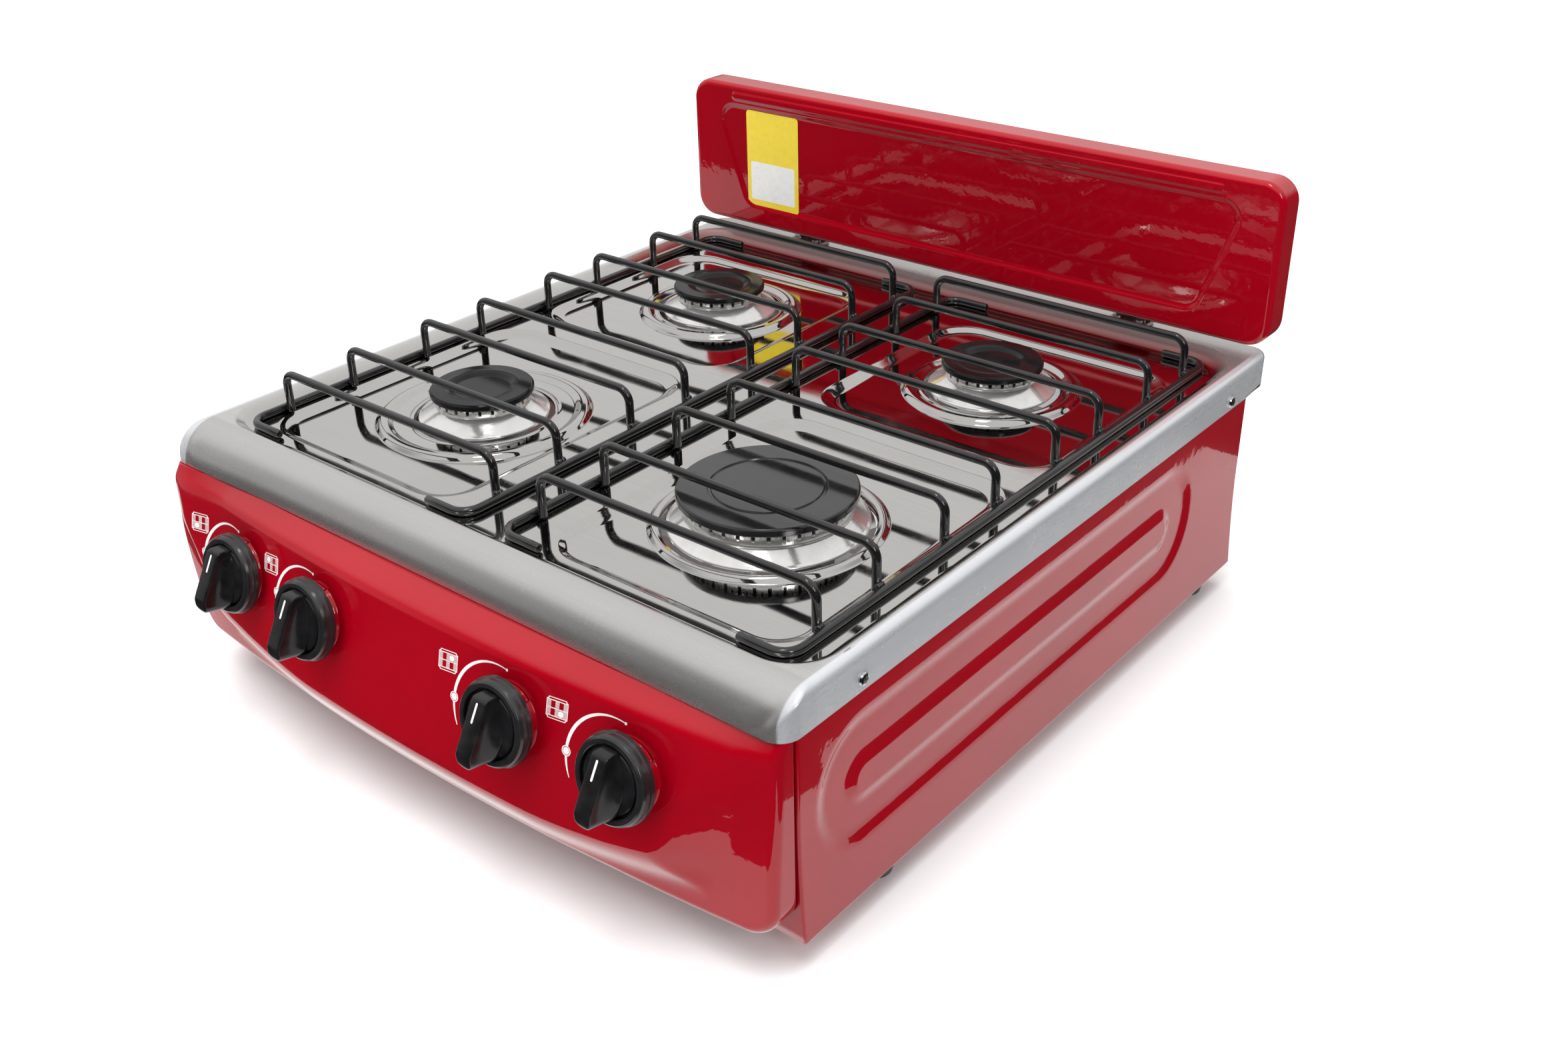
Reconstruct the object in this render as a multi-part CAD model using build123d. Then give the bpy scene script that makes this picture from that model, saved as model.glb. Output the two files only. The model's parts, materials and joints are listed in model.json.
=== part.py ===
from build123d import *
import math
import os

# Four-burner table-top gas stove. Millimetres, +Z up, X left to right, -Y is the front (knob side).
# Origin: centre of the footprint on the surface the feet stand on.

# ---------------------------------------------------------------- driving dimensions
SHEET = 0.8            # enamelled sheet of the casing
STEEL = 0.8            # stainless sheet of the cooktop
TOP_W = 510.0          # width of the cooktop over its aprons
TOP_Y0, TOP_Y1 = -239.0, 303.0
TOP_Z = 175.0          # height of the cooktop rim
APRON_Z = 150.0        # lower edge of the aprons
ROLL_R = 24.0          # quarter-round front edge of the cooktop
LEDGE_Z = 169.4        # floor that the grates stand on
WELL_Z = 165.5         # floor of the burner wells
BURNER_X = 123.1
FRONT_Y, REAR_Y = -90.8, 148.3
PANEL_X = 254.0        # outer face of the side panels
PANEL_Y0, PANEL_Y1 = -227.6, 273.0
FOOT_H = 17.0
FOOT_R = 11.0
FASCIA_X = 252.5       # half width of the control panel
FASCIA_SAG = 16.0      # bow of the control panel in plan, over 250 mm
FACET_TILT = 13.0      # backward tilt of the knob field, degrees
KNOB_IN_X, KNOB_OUT_X = 84.0, 167.5
OUT_SHIFT = 5.4        # the bowed panel brings the outer knobs this much nearer to their taps
CLIP_X = (-125.0, 125.0)
WIRE_R = 2.75          # grate wire
GRATE_BAR_Y = (-172.3, -120.8, -56.6, -4.3, 63.2, 115.6, 180.1, 232.3)
GRATE_BAR_Z = 198.2
ROD_Z = LEDGE_Z + WIRE_R + 0.05
GRATE_IN_X, GRATE_OUT_X = 15.2, 227.6   # centre lines of the base rods
GRATE_LEG_IN, GRATE_LEG_OUT = 20.2, 222.6
GRATE_HOOK_Y0, GRATE_HOOK_Y1 = -201.5, 258.5
SPLASH_X = 260.4       # half width of the backsplash
SPLASH_Y0, SPLASH_Y1 = 278.6, 302.0
SPLASH_Z0, SPLASH_Z1 = 183.0, 299.0
PUSH = 2.5             # push-in travel of a knob
MANIFOLD_Y, MANIFOLD_Z, MANIFOLD_R = -223.0, 78.0, 8.0
RAIL_Z0, RAIL_Z1 = 150.5, 152.0
Y_SHIFT = -2.0107      # puts the middle of the whole stove's box on the origin

# burner: name, x, y, large?, outer radius of the pressed ring, knob index
BURNERS = {
    "front_left": (-BURNER_X, FRONT_Y, False, 72.0),
    "rear_left": (-BURNER_X, REAR_Y, False, 62.0),
    "rear_right": (BURNER_X, REAR_Y, False, 62.0),
    "front_right": (BURNER_X, FRONT_Y, True, 71.0),
}
# knobs from left to right
KNOBS = {
    "front_left": -KNOB_OUT_X,
    "rear_left": -KNOB_IN_X,
    "rear_right": KNOB_IN_X,
    "front_right": KNOB_OUT_X,
}


# ---------------------------------------------------------------- helpers
def bx(x0, x1, y0, y1, z0, z1):
    return Pos((x0 + x1) / 2, (y0 + y1) / 2, (z0 + z1) / 2) * Box(x1 - x0, y1 - y0, z1 - z0)


def cz(x, y, z0, z1, r):
    return Pos(x, y, (z0 + z1) / 2) * Cylinder(r, z1 - z0)


def cx(x0, x1, y, z, r):
    return Pos((x0 + x1) / 2, y, z) * Rot(0, 90, 0) * Cylinder(r, x1 - x0)


def cy(x, y0, y1, z, r):
    return Pos(x, (y0 + y1) / 2, z) * Rot(90, 0, 0) * Cylinder(r, y1 - y0)


def rod_between(p, q, r):
    p, q = Vector(*p), Vector(*q)
    d = q - p
    plane = Plane(origin=p, z_dir=d)
    return extrude(plane * Circle(r), d.length)


def revolved(points, x=0.0, y=0.0):
    # closed profile of (radius, height) pairs turned about a vertical axis
    wire = Polyline(*[(r, 0, z) for r, z in points], close=True)
    return Pos(x, y, 0) * revolve(make_face(wire), Axis.Z)


def rounded(x0, x1, y0, y1, r, z):
    return Pos((x0 + x1) / 2, (y0 + y1) / 2, z) * RectangleRounded(x1 - x0, y1 - y0, r)


def frustum(a, b):
    # straight-sided solid between two rounded rectangles (x0, x1, y0, y1, r, z)
    return loft([rounded(*a), rounded(*b)], ruled=True)


def fuse(items):
    items = list(items)
    return items[0].fuse(*items[1:]) if len(items) > 1 else items[0]


def solid_of(shape):
    found = shape.solids()
    assert len(found) == 1, len(found)
    return found[0]


def save(name, shape):
    os.makedirs("parts", exist_ok=True)
    solids = list(shape.solids())
    moved = [s.moved(Location((0, Y_SHIFT, 0))) for s in solids]
    out = moved[0] if len(moved) == 1 else Compound(children=moved)
    out.label = name
    export_step(out, "parts/" + name + ".step")
    print(name, len(solids), round(sum(s.volume for s in solids)))


# ---------------------------------------------------------------- cooktop
def top_form(t):
    """Outer body of the cooktop, every face moved inwards by t."""
    y0, y1, z1 = TOP_Y0 + t, TOP_Y1 - t, TOP_Z - t
    low = APRON_Z if t == 0 else APRON_Z - 20
    r = ROLL_R - t
    cyy, czz = TOP_Y0 + ROLL_R, TOP_Z - ROLL_R
    s = math.sqrt(0.5)
    rr = 3.0
    pts_a = Line((y0, low), (y0, czz))
    arc_a = ThreePointArc((y0, czz), (cyy - r * s, czz + r * s), (cyy, z1))
    line_b = Line((cyy, z1), (y1 - rr, z1))
    arc_b = ThreePointArc((y1 - rr, z1), (y1 - rr + rr * s, z1 - rr + rr * s), (y1, z1 - rr))
    line_c = Polyline((y1, z1 - rr), (y1, 155.0 if t == 0 else low), (276.0, low), (y0, low))
    profile = make_face([pts_a, arc_a, line_b, arc_b, line_c])
    side = Plane.YZ * profile
    body = extrude(side, TOP_W / 2 - t, both=True)
    plan = rounded(-TOP_W / 2 + t, TOP_W / 2 - t, y0, y1, 13.0 - t, low - 5)
    body = body & extrude(plan, 60)
    face = Plane.XZ * (Pos(0, low - 30 + (z1 - low + 30) / 2) * RectangleRounded(TOP_W - 2 * t, z1 - low + 30, 5.5 - t))
    body = body & extrude(face, 400, both=True)
    return body


def recess(t):
    """Pressed floor and burner wells as the space they empty, sheet thickness t below."""
    g = t * 0.55
    z = TOP_Z - t

    def tapered(x0, x1, y0, y1, r, ztop, zbot, grow, top_extra=3.0, rear_grow=None):
        rear = grow if rear_grow is None else rear_grow
        k = (ztop - zbot + top_extra) / (ztop - zbot)
        low = (x0 - g, x1 + g, y0 - g, y1 + g, r + g, zbot - t)
        high = (x0 - g - grow * k, x1 + g + grow * k, y0 - g - grow * k, y1 + g + rear * k,
                r + g + grow * k * 0.8, ztop - t + top_extra)
        return frustum(high, low)

    out = tapered(-240, 240, -206.5, 264, 24, TOP_Z, LEDGE_Z, 6.5, rear_grow=15)
    wells = []
    for sx in (-1, 1):
        for y0, y1 in ((-190, 19), (56, 222)):
            x0, x1 = sorted((sx * 46, sx * 216))
            wells.append(tapered(x0, x1, y0, y1, 22, LEDGE_Z, WELL_Z, 6.0, top_extra=1.5))
    return fuse([out] + wells)


def ring_profile(r_out, r_hole):
    """Pressed ring and turned-down lip round one burner hole (top line, then underside)."""
    z, t = WELL_Z, STEEL
    crest = r_out - 5.5
    top = [(r_out + 2, z), (r_out, z), (crest + 2, z + 3.6), (crest - 2, z + 3.6)]
    if r_hole > crest - 8:
        inner = [(r_hole + 1.2, z + 1.6), (r_hole, z + 0.2)]
    else:
        inner = [(crest - 6, z + 1.0), (r_hole + 4, z + 1.0), (r_hole + 1.2, z + 0.6), (r_hole, z - 0.8)]
    top += inner
    low = [(r - (0.35 if i < 3 else -0.25), zz - t) for i, (r, zz) in enumerate(top)]
    low[0] = (top[0][0], z - t)
    low[-1] = (top[-1][0], top[-1][1] - t)
    return top + low[::-1]


def burner_sizes(large):
    return dict(hole=62.5, skirt=59.9, crown=50.0, cap=53.6, crown_top=184.8, cap_top=190.0, cup=30.0, spigot=26.0) if large else \
        dict(hole=46.2, skirt=43.6, crown=31.2, cap=34.5, crown_top=182.4, cap_top=187.3, cup=24.0, spigot=20.0)


cooktop = top_form(0)
hollow = top_form(STEEL)
cooktop = cooktop - recess(0)
hollow = hollow - recess(STEEL)
cooktop = cooktop - hollow
for name, (x, y, large, r_out) in BURNERS.items():
    hole = burner_sizes(large)["hole"]
    cooktop = cooktop - cz(x, y, WELL_Z - 5, WELL_Z + 5, r_out + 1)
    cooktop = cooktop + revolved(ring_profile(r_out, hole), x, y)
APRON_SCREWS = [(sx, y, z) for sx in (-1, 1) for y, z in ((-176.4, 157.7), (243.3, 156.6))]
for sx, y, z in APRON_SCREWS:
    cooktop = cooktop - cx(*sorted((sx * 250, sx * 256)), y, z, 2.1)
BRACKET_X = 150.0
FOOT_HOLES = [(sx * BRACKET_X + dx, 291.5) for sx in (-1, 1) for dx in (-9, 9)]
for x, y in FOOT_HOLES:
    cooktop = cooktop - cz(x, y, 173, 176, 2.05)
save("cooktop", cooktop)

# ---------------------------------------------------------------- side panels
FOOT_X = 238.5
FOOT_Y = (-140.0, 246.0)
RAIL_Y = (FRONT_Y, REAR_Y)


def side_panel():
    x1 = PANEL_X
    z0, z1 = FOOT_H, 168.0

    def form(t, x_out):
        y0, y1 = PANEL_Y0 + t, PANEL_Y1 - t
        body = bx(224 if t == 0 else 200, x_out, y0, y1, z0 + t, z1 - t)

        def obround(ya, yb, za, zb, r, x):
            f = Plane(origin=(x, 0, 0), x_dir=(0, 1, 0), z_dir=(1, 0, 0))
            return f * (Pos((ya + yb) / 2, (za + zb) / 2) * RectangleRounded(yb - ya, zb - za, r))

        # wide shallow pressing and the raised rib inside it
        cut = loft([obround(-213, 200, 52, 136, 41, x_out + 0.5), obround(-205, 192, 60, 128, 33, x_out - 2.2)], ruled=True)
        rib = loft([obround(-186, 172, 76, 109, 16.2, x_out - 2.7), obround(-179, 165, 83, 101, 8.8, x_out - 0.2)], ruled=True)
        return (body - cut) + rib

    shell = form(0, x1) - form(SHEET, x1 - SHEET)
    for y in FOOT_Y:
        shell = shell - cz(FOOT_X, y, z0 - 1, z0 + 2, 2.1)
    for y, z in ((-176.4, 157.7), (243.3, 156.6)):
        shell = shell - cx(250, 256, y, z, 2.1)
    for z in (50.0, 130.0):
        shell = shell - cy(236.0, PANEL_Y0 - 1, PANEL_Y0 + 2, z, 2.1)
        shell = shell - cy(236.0, PANEL_Y1 - 2, PANEL_Y1 + 1, z, 2.1)
    for y in RAIL_Y:
        for dy in (-10, 10):
            shell = shell - cx(250, 256, y + dy, 143.5, 1.65)
    return shell


panel_right = side_panel()
panel_left = mirror(panel_right, Plane.YZ)
save("side_panel_right", panel_right)
save("side_panel_left", panel_left)


# ---------------------------------------------------------------- control panel
def bow_section(x_half, y_mid, y_back, z, corner, sag=FASCIA_SAG):
    """Plan outline: bowed front, straight sides, rounded front corners."""
    s = lambda x: y_mid + sag * (x / 250.0) ** 2
    front = ThreePointArc((-x_half, s(x_half)), (0, y_mid), (x_half, s(x_half)))
    rest = Polyline((x_half, s(x_half)), (x_half, y_back), (-x_half, y_back), (-x_half, s(x_half)))
    face = make_face([front, rest])
    if corner:
        face = fillet([v for v in face.vertices() if v.Y < y_back - 1], corner)
    return Pos(0, 0, z) * face


def facet_y(z):
    return -266.7 - (108.5 - z) * math.tan(math.radians(FACET_TILT))


def fascia_form(t):
    xh = FASCIA_X - t
    yb = -227.6 if t == 0 else -228.4
    c = 9.0 - t * 0.8
    lo, mid, hi = 26.0 + t, 143.0, 149.6 - t
    y_lo, y_mid = -264.4 + t, -256.3 + t
    y_hi = -241.0 + t * 0.5
    body = loft([bow_section(xh, y_lo, yb, lo, c), bow_section(xh, y_mid, yb, mid, c)], ruled=True)
    front_outline = Plane.XZ * (Pos(0, (lo + 250) / 2) * RectangleRounded(2 * xh, 250 - lo, 20 - t))
    body = body & extrude(front_outline, 400, both=True)
    cap = loft([bow_section(xh, y_mid, yb, mid, c), bow_section(xh, y_hi, yb, hi, c * 0.55, sag=5.0)], ruled=True)
    body = body + cap
    # tilted knob field: flush at its top edge, proud at its bottom edge
    wedge_plan = [bow_section(235.0, y + t, -236.0, z, 0) for y, z in ((facet_y(20.0), 20.0), (facet_y(128.0), 128.0), (-255.4, 146.0))]
    wedge = loft(wedge_plan, ruled=True)
    o = t * 0.9
    outline = Plane.XZ * make_face(Polyline((-214 + o, 118.0), (-223 + o, 143.0 - t), (223 - o, 143.0 - t), (214 - o, 118.0),
                                            (191 - o, 66 + o), (180 - o, 58 + o), (-180 + o, 58 + o), (-191 + o, 66 + o), close=True))
    wedge = wedge & extrude(outline, 300, both=True)
    # its lower face runs back under at a slant
    slant = Plane.YZ * make_face(Polyline((-240, 30 + t), (-264 + t, 40 + t), (-300, 77 + t), (-300, 200), (-240, 200), close=True))
    wedge = wedge & extrude(slant, 300, both=True)
    return body + wedge


AX = Vector(0, -math.cos(math.radians(FACET_TILT)), math.sin(math.radians(FACET_TILT)))


def knob_frame(x):
    """Local frame on a knob axis: local Z points out of the panel, local Y up."""
    return tap_frame(x) * Location((0, 0, -OUT_SHIFT if abs(x) > 120 else 0.0))


def tap_frame(x):
    """Frame of the tap behind a knob; all four taps stand in one line on the manifold."""
    return Location((x, -264.9, 108.5), (90 - FACET_TILT, 0, 0))


fascia = fascia_form(0)
fascia_in = fascia_form(SHEET)
for x in KNOBS.values():
    f = knob_frame(x)
    boss = f * (Pos(0, 0, -0.6) * Cylinder(26.4, 7.8))
    fascia = fascia + boss
    fascia_in = fascia_in + f * (Pos(0, 0, -2.9) * Cylinder(25.6, 10.8))
fascia = fascia - fascia_in
fascia = fascia - bx(-228, 228, -235, -220, 34, 145)
for x in KNOBS.values():
    fascia = fascia - knob_frame(x) * (Pos(0, 0, 0) * Cylinder(7.0, 16))
for sx in (-1, 1):
    for z in (50.0, 130.0):
        fascia = fascia - cy(sx * 236.0, -229.5, -226.5, z, 2.1)
for xc in CLIP_X:
    fascia = fascia - cy(xc, -229.5, -226.5, 30.5, 1.65)
save("control_panel", fascia)

# ---------------------------------------------------------------- rear panel
rear = bx(-252.6, 252.6, PANEL_Y1 - SHEET - 1.0, PANEL_Y1 - SHEET - 0.05, 22, 167)
rear = rear + bx(-223, 223, PANEL_Y1 - 16.0, PANEL_Y1 - SHEET - 0.05, 22, 22.9)
rear = rear + bx(-223, 223, PANEL_Y1 - 16.0, PANEL_Y1 - SHEET - 0.05, 166.1, 167)
vents = []
for row in (118.0, 132.0):
    for i in range(-7, 8):
        vents.append(Pos(i * 24.0, PANEL_Y1 - 1.3, row) * Rot(90, 0, 0) * extrude(SlotOverall(16, 4.0), 4, both=True))
rear = rear - fuse(vents)
INLET_X = 214.0
rear = rear - cy(INLET_X, 268, 276, MANIFOLD_Z, 8.6)
for sx in (-1, 1):
    for z in (50.0, 130.0):
        rear = rear - cy(sx * 236.0, 268, 276, z, 2.1)
save("rear_panel", rear)

# ---------------------------------------------------------------- burner rails
EAR = 6.0


def ear_x(large):
    return 38.0 if large else 32.0


for rail_name, y in (("burner_rail_front", FRONT_Y), ("burner_rail_rear", REAR_Y)):
    xe = PANEL_X - SHEET
    rail = bx(-xe, xe, y - 19, y + 19, RAIL_Z0, RAIL_Z1)
    for sx in (-1, 1):
        rail = rail + bx(*sorted((sx * xe, sx * (xe - 1.5))), y - 19, y + 19, 137.0, RAIL_Z1)
        rail = rail - cz(sx * BURNER_X, y, 140, 160, 11.4)
        for dy in (-10, 10):
            rail = rail - cx(*sorted((sx * 248, sx * 256)), y + dy, 143.5, 1.65)
    for n, (bxx, by, large, _) in BURNERS.items():
        if by == y:
            for s in (-1, 1):
                rail = rail - cz(bxx + s * ear_x(large), y, 148, 155, 2.05)
    for e in (-1, 1):
        rail = rail + bx(-xe + 2, xe - 2, *sorted((y + e * 19, y + e * 17.6)), 142.0, RAIL_Z1)
    save(rail_name, rail)

# ---------------------------------------------------------------- backsplash and its brackets
def splash_form(t):
    w, z0, z1 = SPLASH_X - t, SPLASH_Z0 + t, SPLASH_Z1 - t
    face = Plane.XZ * (Pos(0, (z0 + z1) / 2) * RectangleRounded(2 * w, z1 - z0, 17 - t))
    body = Pos(0, SPLASH_Y1, 0) * extrude(face, SPLASH_Y1 - SPLASH_Y0 - t)
    edge = body.faces().sort_by(Axis.Y)[0].edges()
    return fillet(edge, 4.5 - t)


splash = splash_form(0)
splash_in = splash_form(SHEET) - bx(-300, 300, SPLASH_Y1 - SHEET, SPLASH_Y1 + 5, 100, 400)


def splash_recess(t):
    def face(g, y):
        pts = [(-205 - g, 199 - g), (205 + g, 199 - g), (237 + g, 283 + g * 0.6), (-237 - g, 283 + g * 0.6)]
        fc = make_face(Polyline(*pts, close=True))
        fc = fillet(fc.vertices(), 12)
        return Plane(origin=(0, y, 0), x_dir=(1, 0, 0), z_dir=(0, -1, 0)) * fc
    return loft([face(0.8, SPLASH_Y0 - 0.4 + t), face(-1.8, SPLASH_Y0 + 1.4 + t)], ruled=True)


splash = splash - splash_recess(0)
splash_in = splash_in - splash_recess(SHEET)
bead = Plane.XZ * (Pos(0, 289.5) * SlotOverall(436, 7))
splash = splash + Pos(0, SPLASH_Y0 + 0.5, 0) * extrude(bead, 1.3)
splash = splash - splash_in
opening = Plane.XZ * (Pos(0, (SPLASH_Z0 + SPLASH_Z1) / 2) * RectangleRounded(2 * SPLASH_X - 32, SPLASH_Z1 - SPLASH_Z0 - 32, 8))
splash = splash - Pos(0, SPLASH_Y1 + 2, 0) * extrude(opening, 4)
brackets, splash_screws = [], []
for sx in (-1, 1):
    xc = sx * BRACKET_X
    splash = splash - bx(xc - 17, xc + 17, 298.8, 301.2, 180, 185)
    br = bx(xc - 15, xc + 15, 299.7, 301.2, 175.0, 199.0)
    br = br + bx(xc - 15, xc + 15, 284.5, 301.2, 175.0, 176.5)
    for dx in (-9, 9):
        br = br - cz(xc + dx, 291.5, 174, 178, 2.05)
        br = br - cy(xc + dx, 298, 303, 191.5, 2.05)
        splash = splash - cy(xc + dx, 300, 304, 191.5, 2.05)
        splash_screws.append(cy(xc + dx, 296.5, 302.0, 191.5, 2.0) + cy(xc + dx, 302.0, 304.0, 191.5, 3.9))
        splash_screws.append(cz(xc + dx, 291.5, 169.0, 176.5, 2.0) + cz(xc + dx, 291.5, 176.5, 178.6, 3.9))
    brackets.append(br)
save("backsplash", splash)
save("backsplash_brackets", Compound(children=[b.solids()[0] for b in brackets]))
save("backsplash_screws", Compound(children=[s.solids()[0] for s in splash_screws]))


# ---------------------------------------------------------------- grates
def wire(path, r=WIRE_R):
    start = path.position_at(0)
    direction = path.tangent_at(0)
    return sweep(Plane(origin=start, z_dir=direction) * Circle(r), path=path)


def grate():
    pieces = []
    for y in GRATE_BAR_Y:
        path = FilletPolyline((GRATE_LEG_IN, y, ROD_Z - 1.5), (GRATE_LEG_IN, y, GRATE_BAR_Z), (GRATE_LEG_OUT, y, GRATE_BAR_Z),
                              (GRATE_LEG_OUT, y, ROD_Z - 1.5), radius=9.0)
        pieces.append(wire(path))
    for x, hook in ((GRATE_IN_X, 48.5), (GRATE_OUT_X, 194.5)):
        path = FilletPolyline((hook, GRATE_HOOK_Y0, ROD_Z), (x, GRATE_HOOK_Y0, ROD_Z), (x, GRATE_HOOK_Y1, ROD_Z), (hook, GRATE_HOOK_Y1, ROD_Z), radius=12.0)
        pieces.append(wire(path))
    return fuse(pieces)


grate_right = grate()
grate_left = mirror(grate_right, Plane.YZ)
save("grate_right", grate_right)
save("grate_left", grate_left)

# ---------------------------------------------------------------- burners
LEG_R, LEG_BORE = 11.0, 9.6
tube_z = 96.0
burner_screws, injectors = [], []
for name, (x, y, large, r_out) in BURNERS.items():
    d = burner_sizes(large)
    cup, spig = d["cup"], d["spigot"]
    crown, skirt, ct = d["crown"], d["skirt"], d["crown_top"]
    wall = crown - 5.0
    seat = 166.05
    profile = [(crown, ct), (crown, 175.0), (crown + 1.2, 174.2), (skirt, 168.6), (skirt, 166.6), (skirt - 1.2, 166.6), (crown - 0.5, 172.4),
               (cup + 1.5, 172.4), (cup + 1.5, seat), (spig, seat), (spig, 156.5), (spig - 3.0, 156.5), (spig - 3.0, 176.0), (wall, 176.0), (wall, ct)]
    head = revolved(profile, x, y)
    n = 36 if large else 24
    depth = 3.9
    cuts = []
    for i in range(n):
        a = 360.0 / n * i
        cuts.append(Pos(x, y, 0) * Rot(0, 0, a) * bx(wall - 1, crown + 1, -1.15, 1.15, ct - depth, ct + 1))
        cuts.append(Pos(x, y, 0) * Rot(0, 0, a + 180.0 / n) * bx(wall - 1, crown + 1, -0.5, 0.5, ct - 1.6, ct + 1))
    head = head - fuse(cuts)
    # locating key under the skirt
    ka = -118.0
    head = head + Pos(x, y, 0) * Rot(0, 0, ka) * bx(skirt - 5.0, skirt - 0.3, -2.2, 2.2, 164.9, 168.4)
    save("burner_head_" + name, solid_of(head))

    cap_r, top = d["cap"], d["cap_top"]
    cap_low = ct + 0.05
    if large:
        prof = [(0, top - 0.1), (cap_r * 0.60, top - 0.1), (cap_r * 0.615, top - 0.9), (cap_r * 0.635, top - 0.9), (cap_r * 0.65, top),
                (cap_r - 1.4, top), (cap_r - 0.4, top - 0.5), (cap_r, top - 1.5), (cap_r, cap_low + 0.6), (cap_r - 0.6, cap_low), (wall - 0.6, cap_low),
                (wall - 0.6, cap_low - 3.0), (wall - 3.0, cap_low - 3.0), (wall - 3.0, cap_low + 1.0), (0, cap_low + 1.0)]
    else:
        prof = [(0, top - 2.4), (cap_r * 0.50, top - 2.3), (cap_r * 0.60, top - 1.3), (cap_r * 0.66, top - 0.2), (cap_r * 0.72, top),
                (cap_r - 1.4, top - 0.2), (cap_r - 0.4, top - 0.7), (cap_r, top - 1.7), (cap_r, cap_low + 0.6), (cap_r - 0.6, cap_low), (wall - 0.6, cap_low),
                (wall - 0.6, cap_low - 3.0), (wall - 2.6, cap_low - 3.0), (wall - 2.6, cap_low + 0.9), (0, cap_low + 0.9)]
    save("burner_cap_" + name, solid_of(revolved(prof, x, y)))

    # mixing tube: bell mouth at the injector, bend, upright leg and cup
    xk = KNOBS[name]
    s = 1 if x > 0 else -1
    front = abs(xk) > 120
    path = [(xk, -196.0, tube_z), (xk, -160.0, tube_z), (x, y, tube_z)] if front else [(xk, -196.0, tube_z), (xk, 30.0, tube_z), (x, y, tube_z)]
    r1, r0 = 8.0, 6.8
    seg = [rod_between(path[i], path[i + 1], r1) for i in range(2)] + [Pos(*path[1]) * Sphere(r1)]
    bore = [rod_between(path[i], path[i + 1], r0) for i in range(2)] + [Pos(*path[1]) * Sphere(r0)]
    outer = fuse(seg + [rod_between((xk, -197.5, tube_z), (xk, -188.0, tube_z), 10.8), cz(x, y, 86.0, RAIL_Z1 + 0.05, LEG_R), cz(x, y, RAIL_Z1 + 0.05, 166.0, cup)]
                 + [bx(x - ear_x(large) - EAR, x + ear_x(large) + EAR, y - 6, y + 6, RAIL_Z1 + 0.05, RAIL_Z1 + 3)])
    inner = fuse(bore + [rod_between((xk, -199.0, tube_z), (xk, -189.5, tube_z), 9.4), cz(x, y, 88.0, 156.0, LEG_BORE), cz(x, y, 155.0, 167.0, spig + 0.3)])
    tube = outer - inner
    for e in (-1, 1):
        ex = x + e * ear_x(large)
        tube = tube - cz(ex, y, 148, 158, 2.05)
        burner_screws.append(cz(ex, y, 146.5, RAIL_Z1 + 3, 2.0) + cz(ex, y, RAIL_Z1 + 3, RAIL_Z1 + 5.2, 3.6))
    save("mixing_tube_" + name, solid_of(tube))
    inj = rod_between((xk, -212.0, tube_z), (xk, -204.0, tube_z), 3.4) + rod_between((xk, -204.0, tube_z), (xk, -199.5, tube_z), 4.6)
    inj = inj - rod_between((xk, -213.0, tube_z), (xk, -201.0, tube_z), 1.4) - rod_between((xk, -202.0, tube_z), (xk, -199.0, tube_z), 0.45)
    injectors.append(inj)
save("burner_screws", Compound(children=[s.solids()[0] for s in burner_screws]))
save("injectors", Compound(children=[s.solids()[0] for s in injectors]))

# ---------------------------------------------------------------- manifold and inlet
inlet_y = 262.0
path = FilletPolyline((-196, MANIFOLD_Y, MANIFOLD_Z), (INLET_X, MANIFOLD_Y, MANIFOLD_Z), (INLET_X, inlet_y, MANIFOLD_Z), radius=22)
path_in = FilletPolyline((-193, MANIFOLD_Y, MANIFOLD_Z), (INLET_X, MANIFOLD_Y, MANIFOLD_Z), (INLET_X, inlet_y, MANIFOLD_Z), radius=22)
manifold = wire(path, MANIFOLD_R) - wire(path_in, MANIFOLD_R - 1.5)
for x in KNOBS.values():
    manifold = manifold - cz(x, MANIFOLD_Y, MANIFOLD_Z, MANIFOLD_Z + 12, 2.5)
save("gas_manifold", solid_of(manifold))

# brass hose nozzle on the end of the pipe, standing out of the rear panel
g = [(3.0, 0), (6.45, 0), (6.45, 8.0), (9.5, 8.0), (9.5, 16.0), (5.0, 16.0), (5.0, 20.0), (5.6, 20.6), (5.6, 21.6), (5.0, 23.5),
     (5.0, 26.5), (5.6, 27.1), (5.6, 28.1), (5.0, 30.0), (5.0, 40.0), (4.5, 40.6), (3.0, 40.6)]
nozzle = revolved(g)
nozzle = Location((INLET_X, inlet_y - 8.0, MANIFOLD_Z), (-90, 0, 0)) * nozzle
save("gas_inlet_nozzle", solid_of(nozzle))

# saddles that hold the manifold on the control panel's lower flange
clips = []
for xc in CLIP_X:
    strap = bx(xc - 7, xc + 7, MANIFOLD_Y - 11, MANIFOLD_Y + 11, MANIFOLD_Z - 10, MANIFOLD_Z + 2)
    strap = strap - cx(xc - 8, xc + 8, MANIFOLD_Y, MANIFOLD_Z, MANIFOLD_R + 0.02)
    strap = strap + bx(xc - 7, xc + 7, -227.6, -226.1, 26.8, MANIFOLD_Z - 9)
    strap = strap - cy(xc, -230, -224, 30.5, 1.65)
    clips.append(strap)
save("manifold_brackets", Compound(children=[c.solids()[0] for c in clips]))

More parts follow.
